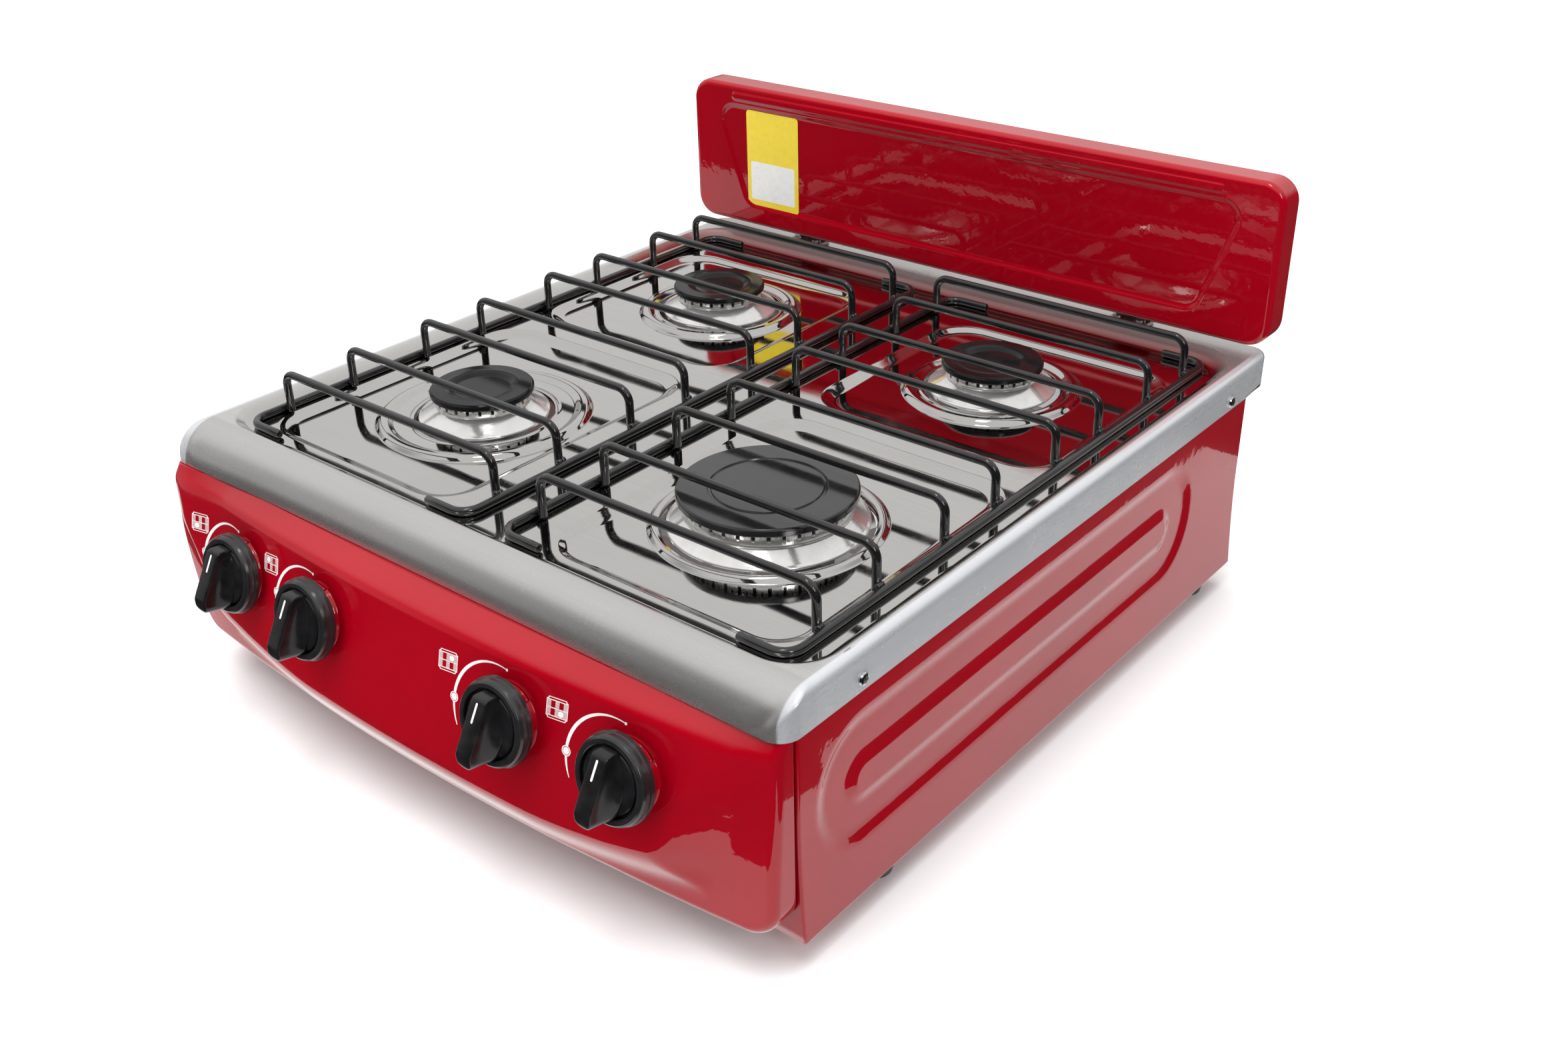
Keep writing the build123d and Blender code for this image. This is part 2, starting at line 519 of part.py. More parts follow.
# ---------------------------------------------------------------- taps
T0 = -20.0             # underside of the tap cover on the tap axis
for name, xk in KNOBS.items():
    f = tap_frame(xk)
    kf = knob_frame(xk)
    outer_knob = abs(xk) > 120
    # body: barrel, foot on the manifold, outlet to the injector
    barrel = f * (Pos(0, 0, (T0 - 33 + T0) / 2) * Cylinder(10.5, 33))
    boss = cz(xk, MANIFOLD_Y, MANIFOLD_Z + 2, 99.0, 6.5)
    outlet = rod_between((xk, -228.0, tube_z), (xk, -206.5, tube_z), 6.2)
    body = fuse([barrel, boss, outlet]) - cx(xk - 12, xk + 12, MANIFOLD_Y, MANIFOLD_Z, MANIFOLD_R)
    cavity = f * Location((0, 0, 0)) * revolve(make_face(Polyline((0, 0, T0 + 1), (7.05, 0, T0 + 1), (7.05, 0, T0 - 12.0), (5.55, 0, T0 - 30.05), (0, 0, T0 - 30.05), close=True)), Axis.Z)
    body = body - cavity
    body = body - rod_between((xk, MANIFOLD_Y, MANIFOLD_Z), (xk, MANIFOLD_Y, 96.0), 2.5)
    body = body - rod_between((xk, -222.0, tube_z), (xk, -206.0, tube_z), 2.6) - rod_between((xk, -212.05, tube_z), (xk, -206.0, tube_z), 3.42)
    save("tap_body_" + name, solid_of(body))

    plug = f * revolve(make_face(Polyline((0, 0, T0 - 12.2), (7.0, 0, T0 - 12.2), (5.5, 0, T0 - 30.0), (0, 0, T0 - 30.0), close=True)), Axis.Z)
    sock = f * (Pos(0, 0, T0 - 12.0 - 7.0) * Cylinder(3.06, 15.0))
    flat = f * bx(-4, 4, 2.06, 4, T0 - 28, T0 - 11)
    plug = plug - (sock - flat)
    plug = plug - f * (Pos(0, 0, T0 - 28.4) * Rot(0, 90, 0) * Cylinder(0.9, 20))
    save("tap_plug_" + name, solid_of(plug))

    # stem with its retaining collar; the outer knobs sit nearer to their taps
    off = -OUT_SHIFT if outer_knob else 0.0
    s_low, s_high = T0 - 21.0, 22.0 + off
    stem = f * (Pos(0, 0, (s_low + s_high) / 2) * Cylinder(3.0, s_high - s_low))
    stem = stem - f * bx(-4, 4, 2.0, 4, s_low - 1, T0 - 8) - f * bx(-4, 4, 2.0, 4, 7.8 + off, s_high + 1)
    stem = stem + f * (Pos(0, 0, T0 - 0.85) * Cylinder(5.3, 1.5))
    save("tap_stem_" + name, solid_of(stem))

covers, springs, cover_screws = [], [], []
for name, xk in KNOBS.items():
    f = tap_frame(xk)
    cover = f * (Pos(0, 0, T0 + 0.75) * Cylinder(10.5, 1.5)) + f * (Pos(0, 0, T0 + 4.0) * Cylinder(5.4, 6.0))
    cover = cover - f * (Pos(0, 0, T0 + 3) * Cylinder(3.1, 12))
    covers.append(cover)
    wirer, mean, pitch, turns = 0.45, 4.5, 1.6, 4.0
    helix = Helix(pitch=pitch, height=pitch * turns, radius=mean)
    coil = sweep(Plane(origin=helix.position_at(0), z_dir=helix.tangent_at(0)) * Circle(wirer), path=helix, is_frenet=True)
    coil = f * Pos(0, 0, T0 - 12.2 + wirer + 0.1) * coil
    springs.append(coil)
save("tap_covers", Compound(children=[c.solids()[0] for c in covers]))
save("tap_springs", Compound(children=[c.solids()[0] for c in springs]))


# ---------------------------------------------------------------- knobs
def knob():
    skirt = revolve(make_face(Polyline((0, 0, 6.3), (25.2, 0, 6.3), (25.6, 0, 7.0), (25.6, 0, 9.8), (25.0, 0, 10.4), (24.9, 0, 12.6), (24.2, 0, 14.6), (22.8, 0, 15.5),
                                       (20.4, 0, 15.5), (19.9, 0, 14.9), (19.9, 0, 12.6), (18.9, 0, 12.6), (18.9, 0, 14.2), (18.3, 0, 14.8), (0, 0, 15.4), close=True)), Axis.Z)
    # grip bar: its front strip rises from 12 o'clock towards 6 o'clock
    sections = []
    for v, half_top, w_top, half_base in ((18.0, 4.4, 23.6, 6.2), (-13.0, 5.0, 33.0, 9.0), (-20.0, 4.4, 30.5, 8.0)):
        pl = Plane(origin=(0, v, 0), x_dir=(1, 0, 0), z_dir=(0, -1, 0))
        # local x stays x, local y of this plane is the outward axis
        pts = [(-half_base, 13.0), (-half_top, w_top), (half_top, w_top), (half_base, 13.0)]
        sections.append(pl * make_face(Polyline(*pts, close=True)))
    bar = loft(sections[:2], ruled=True) + loft(sections[1:], ruled=True)
    tip = loft([sections[2], Plane(origin=(0, -21.6, 0), x_dir=(1, 0, 0), z_dir=(0, -1, 0)) * make_face(Polyline((-6.0, 13.0), (-3.0, 27.0), (3.0, 27.0), (6.0, 13.0), close=True))], ruled=True)
    body = skirt + bar + tip
    body = body - (Pos(0, 0, 12.0) * Cylinder(3.02, 20.1) - bx(-4, 4, 2.03, 4, 8.1, 30))
    # hollow back of the moulding, with the hub left standing
    ring_cut = revolve(make_face(Polyline((8.0, 0, 5.0), (22.5, 0, 5.0), (22.5, 0, 12.0), (19.0, 0, 12.0), (17.0, 0, 13.4), (8.0, 0, 13.4), close=True)), Axis.Z)
    return body - ring_cut


knob_shape = knob()
for name, xk in KNOBS.items():
    save("knob_" + name, solid_of(knob_frame(xk) * knob_shape))

# ---------------------------------------------------------------- feet and screws
feet, foot_screws, top_screws, body_screws, rail_screws = [], [], [], [], []
for sx in (-1, 1):
    for y in FOOT_Y:
        x = sx * FOOT_X
        foot = revolved([(2.1, FOOT_H), (FOOT_R, FOOT_H), (FOOT_R, 6.0), (FOOT_R - 1.2, 1.0), (FOOT_R - 2.0, 0.0), (5.2, 0.0), (5.2, 6.0), (2.1, 6.0)], x, y)
        feet.append(foot)
        foot_screws.append(cz(x, y, 6.0, 21.0, 2.0) + cz(x, y, 3.6, 6.0, 4.4))
for sx, y, z in APRON_SCREWS:
    shank = cx(*sorted((sx * 248.0, sx * 255.0)), y, z, 2.0)
    head = Location((sx * 255.0, y, z), (0, 90 * sx, 0)) * revolve(make_face(Polyline((0, 0, 0), (4.0, 0, 0), (4.0, 0, 0.8), (3.4, 0, 1.7), (2.2, 0, 2.2), (0, 0, 2.3), close=True)), Axis.Z)
    slot = fuse([bx(*sorted((sx * 256.2, sx * 258)), y - 2.0, y + 2.0, z - 0.45, z + 0.45), bx(*sorted((sx * 256.2, sx * 258)), y - 0.45, y + 0.45, z - 2.0, z + 2.0)])
    top_screws.append((shank + head) - slot)
for sx in (-1, 1):
    for z in (50.0, 130.0):
        body_screws.append(cy(sx * 236.0, -231.5, -226.8, z, 2.0) + cy(sx * 236.0, -226.8, -224.6, z, 3.8))
        body_screws.append(cy(sx * 236.0, 266.0, 273.0, z, 2.0) + cy(sx * 236.0, 273.0, 275.2, z, 3.8))
    for y in RAIL_Y:
        for dy in (-10, 10):
            x_in = PANEL_X - SHEET - 1.5
            rail_screws.append(cx(*sorted((sx * x_in, sx * (PANEL_X - 0.1))), y + dy, 143.5, 1.6) + cx(*sorted((sx * (x_in - 2.0), sx * x_in)), y + dy, 143.5, 3.2))
save("feet", Compound(children=[s.solids()[0] for s in feet]))
save("foot_screws", Compound(children=[s.solids()[0] for s in foot_screws]))
save("cooktop_screws", Compound(children=[s.solids()[0] for s in top_screws]))
for xc in CLIP_X:
    body_screws.append(cy(xc, -231.0, -226.1, 30.5, 1.6) + cy(xc, -226.1, -224.2, 30.5, 3.2))
save("casing_screws", Compound(children=[s.solids()[0] for s in body_screws]))
save("rail_screws", Compound(children=[s.solids()[0] for s in rail_screws]))
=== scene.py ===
import bpy
import json
import math
import numpy as np
from mathutils import Matrix, Vector
from mathutils.geometry import delaunay_2d_cdt


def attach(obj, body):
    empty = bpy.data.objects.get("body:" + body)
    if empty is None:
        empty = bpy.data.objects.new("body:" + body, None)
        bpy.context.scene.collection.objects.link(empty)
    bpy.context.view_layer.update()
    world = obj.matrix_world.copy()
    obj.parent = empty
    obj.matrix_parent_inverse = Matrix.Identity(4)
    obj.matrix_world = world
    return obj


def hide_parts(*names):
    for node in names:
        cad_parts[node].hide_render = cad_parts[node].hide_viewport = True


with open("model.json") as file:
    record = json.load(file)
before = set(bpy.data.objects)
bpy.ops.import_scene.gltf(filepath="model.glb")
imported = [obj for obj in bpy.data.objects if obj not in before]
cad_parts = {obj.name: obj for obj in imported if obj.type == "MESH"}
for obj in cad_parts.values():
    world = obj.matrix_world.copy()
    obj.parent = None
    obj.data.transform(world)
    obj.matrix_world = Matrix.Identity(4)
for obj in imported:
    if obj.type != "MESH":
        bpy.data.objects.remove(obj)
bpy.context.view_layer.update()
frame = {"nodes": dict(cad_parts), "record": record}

SCENE = bpy.context.scene
NODES = frame["nodes"]
YS = -2.0107  # the stove's box is centred on the origin
TILT = math.radians(13.0)
BURNERS = {
    "front_left": (-123.1, -90.8, False, 72.0),
    "rear_left": (-123.1, 148.3, False, 62.0),
    "rear_right": (123.1, 148.3, False, 62.0),
    "front_right": (123.1, -90.8, True, 71.0),
}
KNOBS = {"front_left": -167.5, "rear_left": -84.0, "rear_right": 84.0, "front_right": 167.5}


# ------------------------------------------------------------------ mesh helpers (millimetres)
def sp(x, r):
    """max(0, x) with a parabola of half length r at its corner"""
    x = np.asarray(x, float)
    return np.where(x <= -r, 0.0, np.where(x >= r, x, (x + r) ** 2 / (4 * r)))


def soft_profile(points, rho, sub=4, extra=()):
    """polyline of (d, z) with rounded corners: samples d, z and slope"""
    d = np.array([p[0] for p in points], float)
    z = np.array([p[1] for p in points], float)
    m = np.diff(z) / np.diff(d)
    xs = [d[0], d[-1], *extra]
    for k in range(1, len(d) - 1):
        xs += list(d[k] + rho[k - 1] * np.linspace(-1, 1, sub + 1))
    xs = np.array(sorted(xs))
    xs = xs[(xs >= d[0]) & (xs <= d[-1])]
    xs = xs[np.concatenate(([True], np.diff(xs) > 0.04))]
    zz = z[0] + m[0] * (xs - d[0])
    mm = np.full(len(xs), m[0])
    for k in range(1, len(d) - 1):
        zz = zz + (m[k] - m[k - 1]) * sp(xs - d[k], rho[k - 1])
        mm = mm + (m[k] - m[k - 1]) * np.clip((xs - d[k] + rho[k - 1]) / (2 * rho[k - 1]), 0, 1)
    return xs, zz, mm


def poly_loop(corners, radii, arc, runs, off=0.0):
    """closed outline, its corners rounded: the same number of points whatever the offset. Counter-clockwise."""
    c = np.array(corners, float)
    n = len(c)
    nxt = np.roll(c, -1, 0)
    t = nxt - c
    t /= np.linalg.norm(t, axis=1)[:, None]
    nor = np.stack([t[:, 1], -t[:, 0]], 1)
    offs = np.broadcast_to(np.asarray(off, float), (n,))
    base = c + nor * offs[:, None]
    out = []
    verts = []
    for k in range(n):
        a, b = k - 1, k
        m = np.array([t[a], -t[b]]).T
        s = np.linalg.solve(m, base[b] - base[a])
        verts.append(base[a] + t[a] * s[0])
    arcs = []
    for k in range(n):
        a, b = t[k - 1], t[k]
        r = radii[k]
        turn = math.atan2(a[0] * b[1] - a[1] * b[0], a @ b)
        q = r * math.tan(turn / 2)
        start = verts[k] - a * q
        centre = start + np.array([-a[1], a[0]]) * r
        a0 = math.atan2(start[1] - centre[1], start[0] - centre[0])
        arcs.append([centre + r * np.array([math.cos(a0 + turn * j / arc), math.sin(a0 + turn * j / arc)]) for j in range(arc + 1)])
    for k in range(n):
        out += arcs[k]
        e, f = arcs[k][-1], arcs[(k + 1) % n][0]
        w = runs[k]
        out += [e + (f - e) * j / w for j in range(1, w)]
    return np.array(out)


def rect_loop(x0, x1, y0, y1, radii, arc=10, runs=(40, 60), off=0.0):
    """radii: front right, rear right, rear left, front left, seen from above"""
    r = [radii] * 4 if np.isscalar(radii) else list(radii)
    return poly_loop([(x1, y0), (x1, y1), (x0, y1), (x0, y0)], r, arc, [runs[1], runs[0], runs[1], runs[0]], off)


def inside(p, loop):
    """which points lie in the closed outline"""
    a, b = loop, np.roll(loop, -1, 0)
    hit = np.zeros(len(p), bool)
    for i in range(0, len(p), 4000):
        q = p[i:i + 4000]
        y = q[:, 1][:, None]
        cond = (a[:, 1] > y) != (b[:, 1] > y)
        with np.errstate(divide="ignore", invalid="ignore"):
            xi = a[:, 0] + (y - a[:, 1]) * (b[:, 0] - a[:, 0]) / (b[:, 1] - a[:, 1])
        hit[i:i + 4000] = (np.sum(cond & (q[:, 0][:, None] < xi), 1) % 2).astype(bool)
    return hit


def clear_of(p, loop, gap):
    a, b = loop, np.roll(loop, -1, 0)
    d = b - a
    l2 = np.maximum((d ** 2).sum(1), 1e-12)
    keep = np.ones(len(p), bool)
    for i in range(0, len(p), 2000):
        q = p[i:i + 2000]
        t = np.clip(((q[:, None, :] - a) * d).sum(2) / l2, 0, 1)
        near = a + t[:, :, None] * d
        keep[i:i + 2000] = np.min(((q[:, None, :] - near) ** 2).sum(2), 1) > gap * gap
    return keep


class Skin:
    """open surface in local u, v, h coordinates with a normal at every point"""

    def __init__(self):
        self.co, self.no, self.faces, self.n = [], [], [], 0

    def add(self, co, no):
        co = np.asarray(co, float).reshape(-1, 3)
        no = np.broadcast_to(np.asarray(no, float), co.shape)
        ids = np.arange(self.n, self.n + len(co))
        self.co.append(co)
        self.no.append(no / np.linalg.norm(no, axis=1)[:, None])
        self.n += len(co)
        return ids

    def arrays(self):
        return np.concatenate(self.co), np.concatenate(self.no)

    def strip(self, a, b, closed=True):
        n = len(a)
        for i in range(n if closed else n - 1):
            j = (i + 1) % n
            self.faces.append((a[i], a[j], b[j], b[i]))

    def band(self, rows, closed=True):
        for a, b in zip(rows, rows[1:]):
            self.strip(a, b, closed)

    def press(self, loop_of, d, z, m):
        """rows of a wall that follows an outline: loop_of(d) in u, v, with height z and slope m"""
        rows = []
        for dj, zj, mj in zip(d, z, m):
            p = loop_of(dj)
            e = (loop_of(dj + 0.5) - loop_of(dj - 0.5))
            t = np.roll(p, -1, 0) - np.roll(p, 1, 0)
            n = np.stack([t[:, 1] * mj, -t[:, 0] * mj, t[:, 0] * e[:, 1] - t[:, 1] * e[:, 0]], 1)
            n[n[:, 2] < 0] *= -1
            rows.append(self.add(np.column_stack([p, np.full(len(p), zj)]), n))
        self.band(rows)
        return rows

    def fill(self, outer, holes, step, lift, gap=0.55):
        """triangles between outlines that are already there; lift gives the new inner points"""
        co, _ = self.arrays()
        loops = [co[outer][:, :2]] + [co[h][:, :2] for h in holes]
        ids = np.concatenate([outer] + list(holes))
        lo, hi = loops[0].min(0), loops[0].max(0)
        rows = []
        y, odd = lo[1], 0
        while y < hi[1]:
            xs = np.arange(lo[0] + odd * step / 2, hi[0], step)
            rows.append(np.stack([xs, np.full(len(xs), y)], 1))
            y += step * 0.866
            odd = 1 - odd
        p = np.concatenate(rows)
        ok = inside(p, loops[0])
        for h in loops[1:]:
            ok &= ~inside(p, h)
        p = p[ok]
        for h in loops:
            if len(p):
                p = p[clear_of(p, h, gap * step)]
        new = self.add(*lift(p)) if len(p) else np.zeros(0, int)
        pts = np.concatenate([co[ids][:, :2], p])
        allid = np.concatenate([ids, new])
        edges, k = [], 0
        for lp in loops:
            n = len(lp)
            edges += [(k + i, k + (i + 1) % n) for i in range(n)]
            k += n
        res = delaunay_2d_cdt([Vector(q) for q in pts.tolist()], edges, [], 0, 1e-5)
        verts, tris, orig = np.array([tuple(v) for v in res[0]]), res[2], res[3]
        cen = np.array([verts[list(t)].mean(0) for t in tris])
        ok = inside(cen, loops[0])
        for h in loops[1:]:
            ok &= ~inside(cen, h)
        for t, good in zip(tris, ok):
            if good:
                self.faces.append(tuple(allid[orig[v][0]] for v in t))


def corner_normals(co, faces, vn):
    out = []
    for f in faces:
        out.append(vn[list(f)])
    return np.concatenate(out)


def turned(co, no, faces):
    """every face wound to agree with its points' normals"""
    out = []
    for f in faces:
        a, b, c = co[f[0]], co[f[1]], co[f[2]]
        g = np.cross(b - a, c - a)
        if len(f) == 4:
            g = np.cross(co[f[2]] - co[f[0]], co[f[3]] - co[f[1]])
        out.append(tuple(f[::-1]) if g @ no[list(f)].sum(0) < 0 else tuple(f))
    return out


def thick(co, no, faces, t):
    """a closed sheet: the surface, its offset by t behind it, and the edges between them; normals for each face corner"""
    faces = turned(co, no, faces)
    n = len(co)
    directed = set()
    for f in faces:
        for i in range(len(f)):
            directed.add((f[i], f[(i + 1) % len(f)]))
    back = [tuple(v + n for v in f[::-1]) for f in faces]
    rim = [(b, a, a + n, b + n) for a, b in directed if (b, a) not in directed]
    rim.sort()
    co2 = np.concatenate([co, co - no * t])
    vn = np.concatenate([no, -no])
    nl = [corner_normals(co2, faces + back, vn)]
    for f in rim:
        g = np.cross(co2[f[2]] - co2[f[0]], co2[f[3]] - co2[f[1]])
        g /= max(np.linalg.norm(g), 1e-9)
        nl.append(np.tile(g, (4, 1)))
    return co2, faces + back + rim, np.concatenate(nl)


def piece(name, co, faces, nl=None, body="casing", nodes=(), mats=(), index=None, angle=None):
    """co in millimetres in the stove's own frame; nl are normals for each face corner"""
    me = bpy.data.meshes.new(name)
    me.from_pydata(((np.asarray(co, float) + [0, YS, 0]) / 1000).tolist(), [], [tuple(int(v) for v in f) for f in faces])
    me.polygons.foreach_set("use_smooth", [True] * len(me.polygons))
    for m in mats:
        me.materials.append(m)
    if index is not None:
        me.polygons.foreach_set("material_index", index)
    me.update()
    if angle is not None:
        me.set_sharp_from_angle(angle=math.radians(angle))
    if nl is not None:
        me.normals_split_custom_set(np.asarray(nl, float).tolist())
    ob = bpy.data.objects.new(name, me)
    SCENE.collection.objects.link(ob)
    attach(ob, body)
    if nodes:
        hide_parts(*nodes)
    return ob


def arc_profile(points, radii, seg=4):
    """polyline (r, z) with round corners; returns points with two-dimensional normals to its right"""
    p = [np.array(q, float) for q in points]
    n = len(p)
    out = []
    closed = True
    for k in range(n):
        a, b, c = p[k - 1], p[k], p[(k + 1) % n]
        u, v = (b - a) / np.linalg.norm(b - a), (c - b) / np.linalg.norm(c - b)
        turn = math.atan2(u[0] * v[1] - u[1] * v[0], u @ v)
        r = radii[k] if not np.isscalar(radii) else radii
        q = abs(r * math.tan(turn / 2))
        q = min(q, 0.49 * np.linalg.norm(b - a), 0.49 * np.linalg.norm(c - b))
        if q < 1e-4 or abs(turn) < 0.02:
            m = u + v
            m /= np.linalg.norm(m)
            out.append((b, np.array([m[1], -m[0]])))
            continue
        r = q / abs(math.tan(turn / 2))
        s = 1 if turn > 0 else -1
        start = b - u * q
        centre = start + s * r * np.array([-u[1], u[0]])
        k2 = max(1, int(math.ceil(seg * abs(turn) / (math.pi / 2))))
        for j in range(k2 + 1):
            ang = turn * j / k2
            ca, sa = math.cos(ang), math.sin(ang)
            d = start - centre
            pt = centre + np.array([d[0] * ca - d[1] * sa, d[0] * sa + d[1] * ca])
            tt = np.array([u[0] * ca - u[1] * sa, u[0] * sa + u[1] * ca])
            out.append((pt, np.array([tt[1], -tt[0]])))
    return np.array([o[0] for o in out]), np.array([o[1] for o in out])


def lathe(points, radii, centre=(0, 0), n=96, seg=4):
    """solid of revolution about a vertical axis from a closed outline of (r, z); outline runs so that its right side is outside"""
    p, nor = arc_profile(points, radii, seg)
    # points on the axis are kept single
    co, vn, rows = [], [], []
    ang = np.arange(n) * 2 * math.pi / n
    k = 0
    for q, m in zip(p, nor):
        if q[0] < 1e-6:
            co.append([[centre[0], centre[1], q[1]]])
            vn.append([[0, 0, 1.0 if m[1] >= 0 else -1.0]])
            rows.append(np.full(n, k))
            k += 1
        else:
            co.append(np.stack([centre[0] + q[0] * np.cos(ang), centre[1] + q[0] * np.sin(ang), np.full(n, q[1])], 1))
            vn.append(np.stack([m[0] * np.cos(ang), m[0] * np.sin(ang), np.full(n, m[1])], 1))
            rows.append(np.arange(k, k + n))
            k += n
    co, vn = np.concatenate(co), np.concatenate(vn)
    faces = []
    for a, b in zip(rows, rows[1:] + rows[:1]):
        for i in range(n):
            j = (i + 1) % n
            f = [a[i], a[j], b[j], b[i]]
            f = [v for w, v in enumerate(f) if v not in f[:w]]
            if len(f) >= 3:
                faces.append(tuple(f))
    faces = turned(co, vn, faces)
    return co, faces, corner_normals(co, faces, vn)


def joined(parts):
    """several (co, faces, nl) as one"""
    co, faces, nl, k = [], [], [], 0
    for c, f, m in parts:
        co.append(np.asarray(c, float))
        faces += [tuple(int(v) + k for v in g) for g in f]
        nl.append(m)
        k += len(c)
    return np.concatenate(co), faces, np.concatenate(nl)


def flat_normals(co, faces):
    nl = []
    for f in faces:
        g = np.zeros(3)
        c = co[list(f)]
        for i in range(1, len(f) - 1):
            g += np.cross(c[i] - c[0], c[i + 1] - c[0])
        g /= max(np.linalg.norm(g), 1e-12)
        nl.append(np.tile(g, (len(f), 1)))
    return np.concatenate(nl)


# ------------------------------------------------------------------ materials
class Mat:
    def __init__(self, name):
        self.m = bpy.data.materials.new(name)
        self.m.use_nodes = True
        self.t = self.m.node_tree
        self.t.nodes.clear()
        self.out = self.t.nodes.new("ShaderNodeOutputMaterial")
        self.b = self.t.nodes.new("ShaderNodeBsdfPrincipled")
        self.t.links.new(self.b.outputs[0], self.out.inputs[0])
        self.co = self.t.nodes.new("ShaderNodeTexCoord")
        self.obj = self.co.outputs["Object"]

    def set(self, **kw):
        for k, v in kw.items():
            self.b.inputs[k.replace("_", " ")].default_value = v if not isinstance(v, tuple) or len(v) == 4 else (*v, 1.0)
        return self

    def node(self, kind, inputs=None, **props):
        n = self.t.nodes.new(kind)
        for k, v in props.items():
            setattr(n, k, v)
        for k, v in (inputs or {}).items():
            s = n.inputs[k]
            if isinstance(v, bpy.types.NodeSocket):
                self.t.links.new(v, s)
            else:
                s.default_value = v
        return n

    def link(self, a, name):
        self.t.links.new(a, self.b.inputs[name])

    def mapped(self, scale=(1, 1, 1), loc=(0, 0, 0), rot=(0, 0, 0), src=None):
        return self.node("ShaderNodeMapping", {"Vector": src or self.obj, "Scale": scale, "Location": loc, "Rotation": rot}).outputs[0]

    def noise(self, vec, scale, detail=2.0, rough=0.5, distort=0.0):
        return self.node("ShaderNodeTexNoise", {"Vector": vec, "Scale": scale, "Detail": detail, "Roughness": rough, "Distortion": distort}).outputs["Fac"]

    def ramp(self, fac, a, b, va=0.0, vb=1.0):
        return self.node("ShaderNodeMapRange", {"Value": fac, "From Min": a, "From Max": b, "To Min": va, "To Max": vb}).outputs[0]

    def math(self, op, a, b=0.0, clamp=False):
        n = self.t.nodes.new("ShaderNodeMath")
        n.operation = op
        n.use_clamp = clamp
        for i, v in enumerate((a, b)):
            if isinstance(v, bpy.types.NodeSocket):
                self.t.links.new(v, n.inputs[i])
            else:
                n.inputs[i].default_value = v
        return n.outputs[0]

    def mix(self, fac, a, b):
        n = self.t.nodes.new("ShaderNodeMix")
        n.data_type = "RGBA"
        for i, v in ((0, fac), (6, a), (7, b)):
            if isinstance(v, bpy.types.NodeSocket):
                self.t.links.new(v, n.inputs[i])
            elif i == 0:
                n.inputs[i].default_value = v
            else:
                n.inputs[i].default_value = (*v, 1.0)
        return n.outputs[2]

    def bump(self, height, dist, strength=1.0, under=None):
        ins = {"Height": height, "Strength": strength, "Distance": dist}
        if under is not None:
            ins["Normal"] = under
        return self.node("ShaderNodeBump", ins).outputs[0]


def make_steel():
    m = Mat("stainless_sheet")
    grain = m.noise(m.mapped(scale=(14, 900, 900)), 1.0, 3.0, 0.6)
    fine = m.noise(m.mapped(scale=(60, 2600, 2600)), 1.0, 2.0, 0.5)
    haze = m.noise(m.mapped(scale=(9, 14, 14)), 1.0, 3.0, 0.6)
    smudge = m.noise(m.mapped(scale=(26, 26, 26), loc=(3, 1, 0)), 1.0, 5.0, 0.65)
    sep = m.node("ShaderNodeSeparateXYZ", {0: m.obj})
    # the polished floor, and the rolled rim, whose grain is coarser; the side and front masks also carry a painted
    # reflection and painted shade
    rim = m.ramp(sep.outputs[2], 0.1705, 0.1748)
    side = m.ramp(m.math("ABSOLUTE", sep.outputs[0]), 0.2475, 0.2495)
    front = m.ramp(sep.outputs[1], -0.2145, -0.2170)
    rim = m.math("MAXIMUM", rim, m.math("MAXIMUM", side, front))
    long = m.noise(m.mapped(scale=(3.2, 260, 260), loc=(0.4, 0, 0)), 1.0, 4.0, 0.62)
    along = m.noise(m.mapped(scale=(260, 3.2, 260), loc=(0, 0.7, 0)), 1.0, 4.0, 0.62)
    past = m.ramp(m.math("ABSOLUTE", sep.outputs[0]), 0.236, 0.249)
    long = m.math("ADD", m.math("MULTIPLY", long, m.math("SUBTRACT", 1.0, past)), m.math("MULTIPLY", along, past))
    base = m.mix(haze, (0.60, 0.592, 0.578), (0.68, 0.672, 0.658))
    base = m.mix(m.ramp(grain, 0.35, 0.65, 0.0, 0.35), base, (0.55, 0.548, 0.54))
    streak = m.math("MULTIPLY", rim, m.ramp(long, 0.42, 0.70, 0.0, 0.12))
    base = m.mix(streak, base, (0.47, 0.465, 0.455))
    # painted shade: the front face of the roll and the front apron are darkened
    base = m.mix(m.math("MULTIPLY", front, 0.45), base, (0.47, 0.463, 0.452))
    # painted reflection: the side aprons are tinted pale bluish grey in place of the floor they mirror
    base = m.mix(m.math("MULTIPLY", side, 0.6), base, (0.575, 0.60, 0.65))
    m.link(base, "Base Color")
    r = m.math("ADD", m.ramp(haze, 0.3, 0.7, 0.040, 0.065), m.ramp(smudge, 0.56, 0.72, 0.0, 0.06))
    r = m.math("ADD", r, m.math("MULTIPLY", rim, m.ramp(long, 0.3, 0.7, 0.17, 0.235)))
    m.link(r, "Roughness")
    # the side aprons are half non-metallic so that their pale bluish colour shows as painted reflection; the rolled rim
    # is slightly less metallic
    m.link(m.math("SUBTRACT", 1.0, m.math("MAXIMUM", m.math("MULTIPLY", side, 0.5), m.math("MULTIPLY", rim, 0.15))), "Metallic")
    b1 = m.bump(grain, 0.00001, 0.5)
    wob = m.noise(m.mapped(scale=(22, 30, 30)), 1.0, 1.0, 0.4)
    b2 = m.bump(wob, 0.0004, 0.35, under=b1)
    m.link(m.bump(fine, 0.000004, 0.5, under=b2), "Normal")
    return m.m


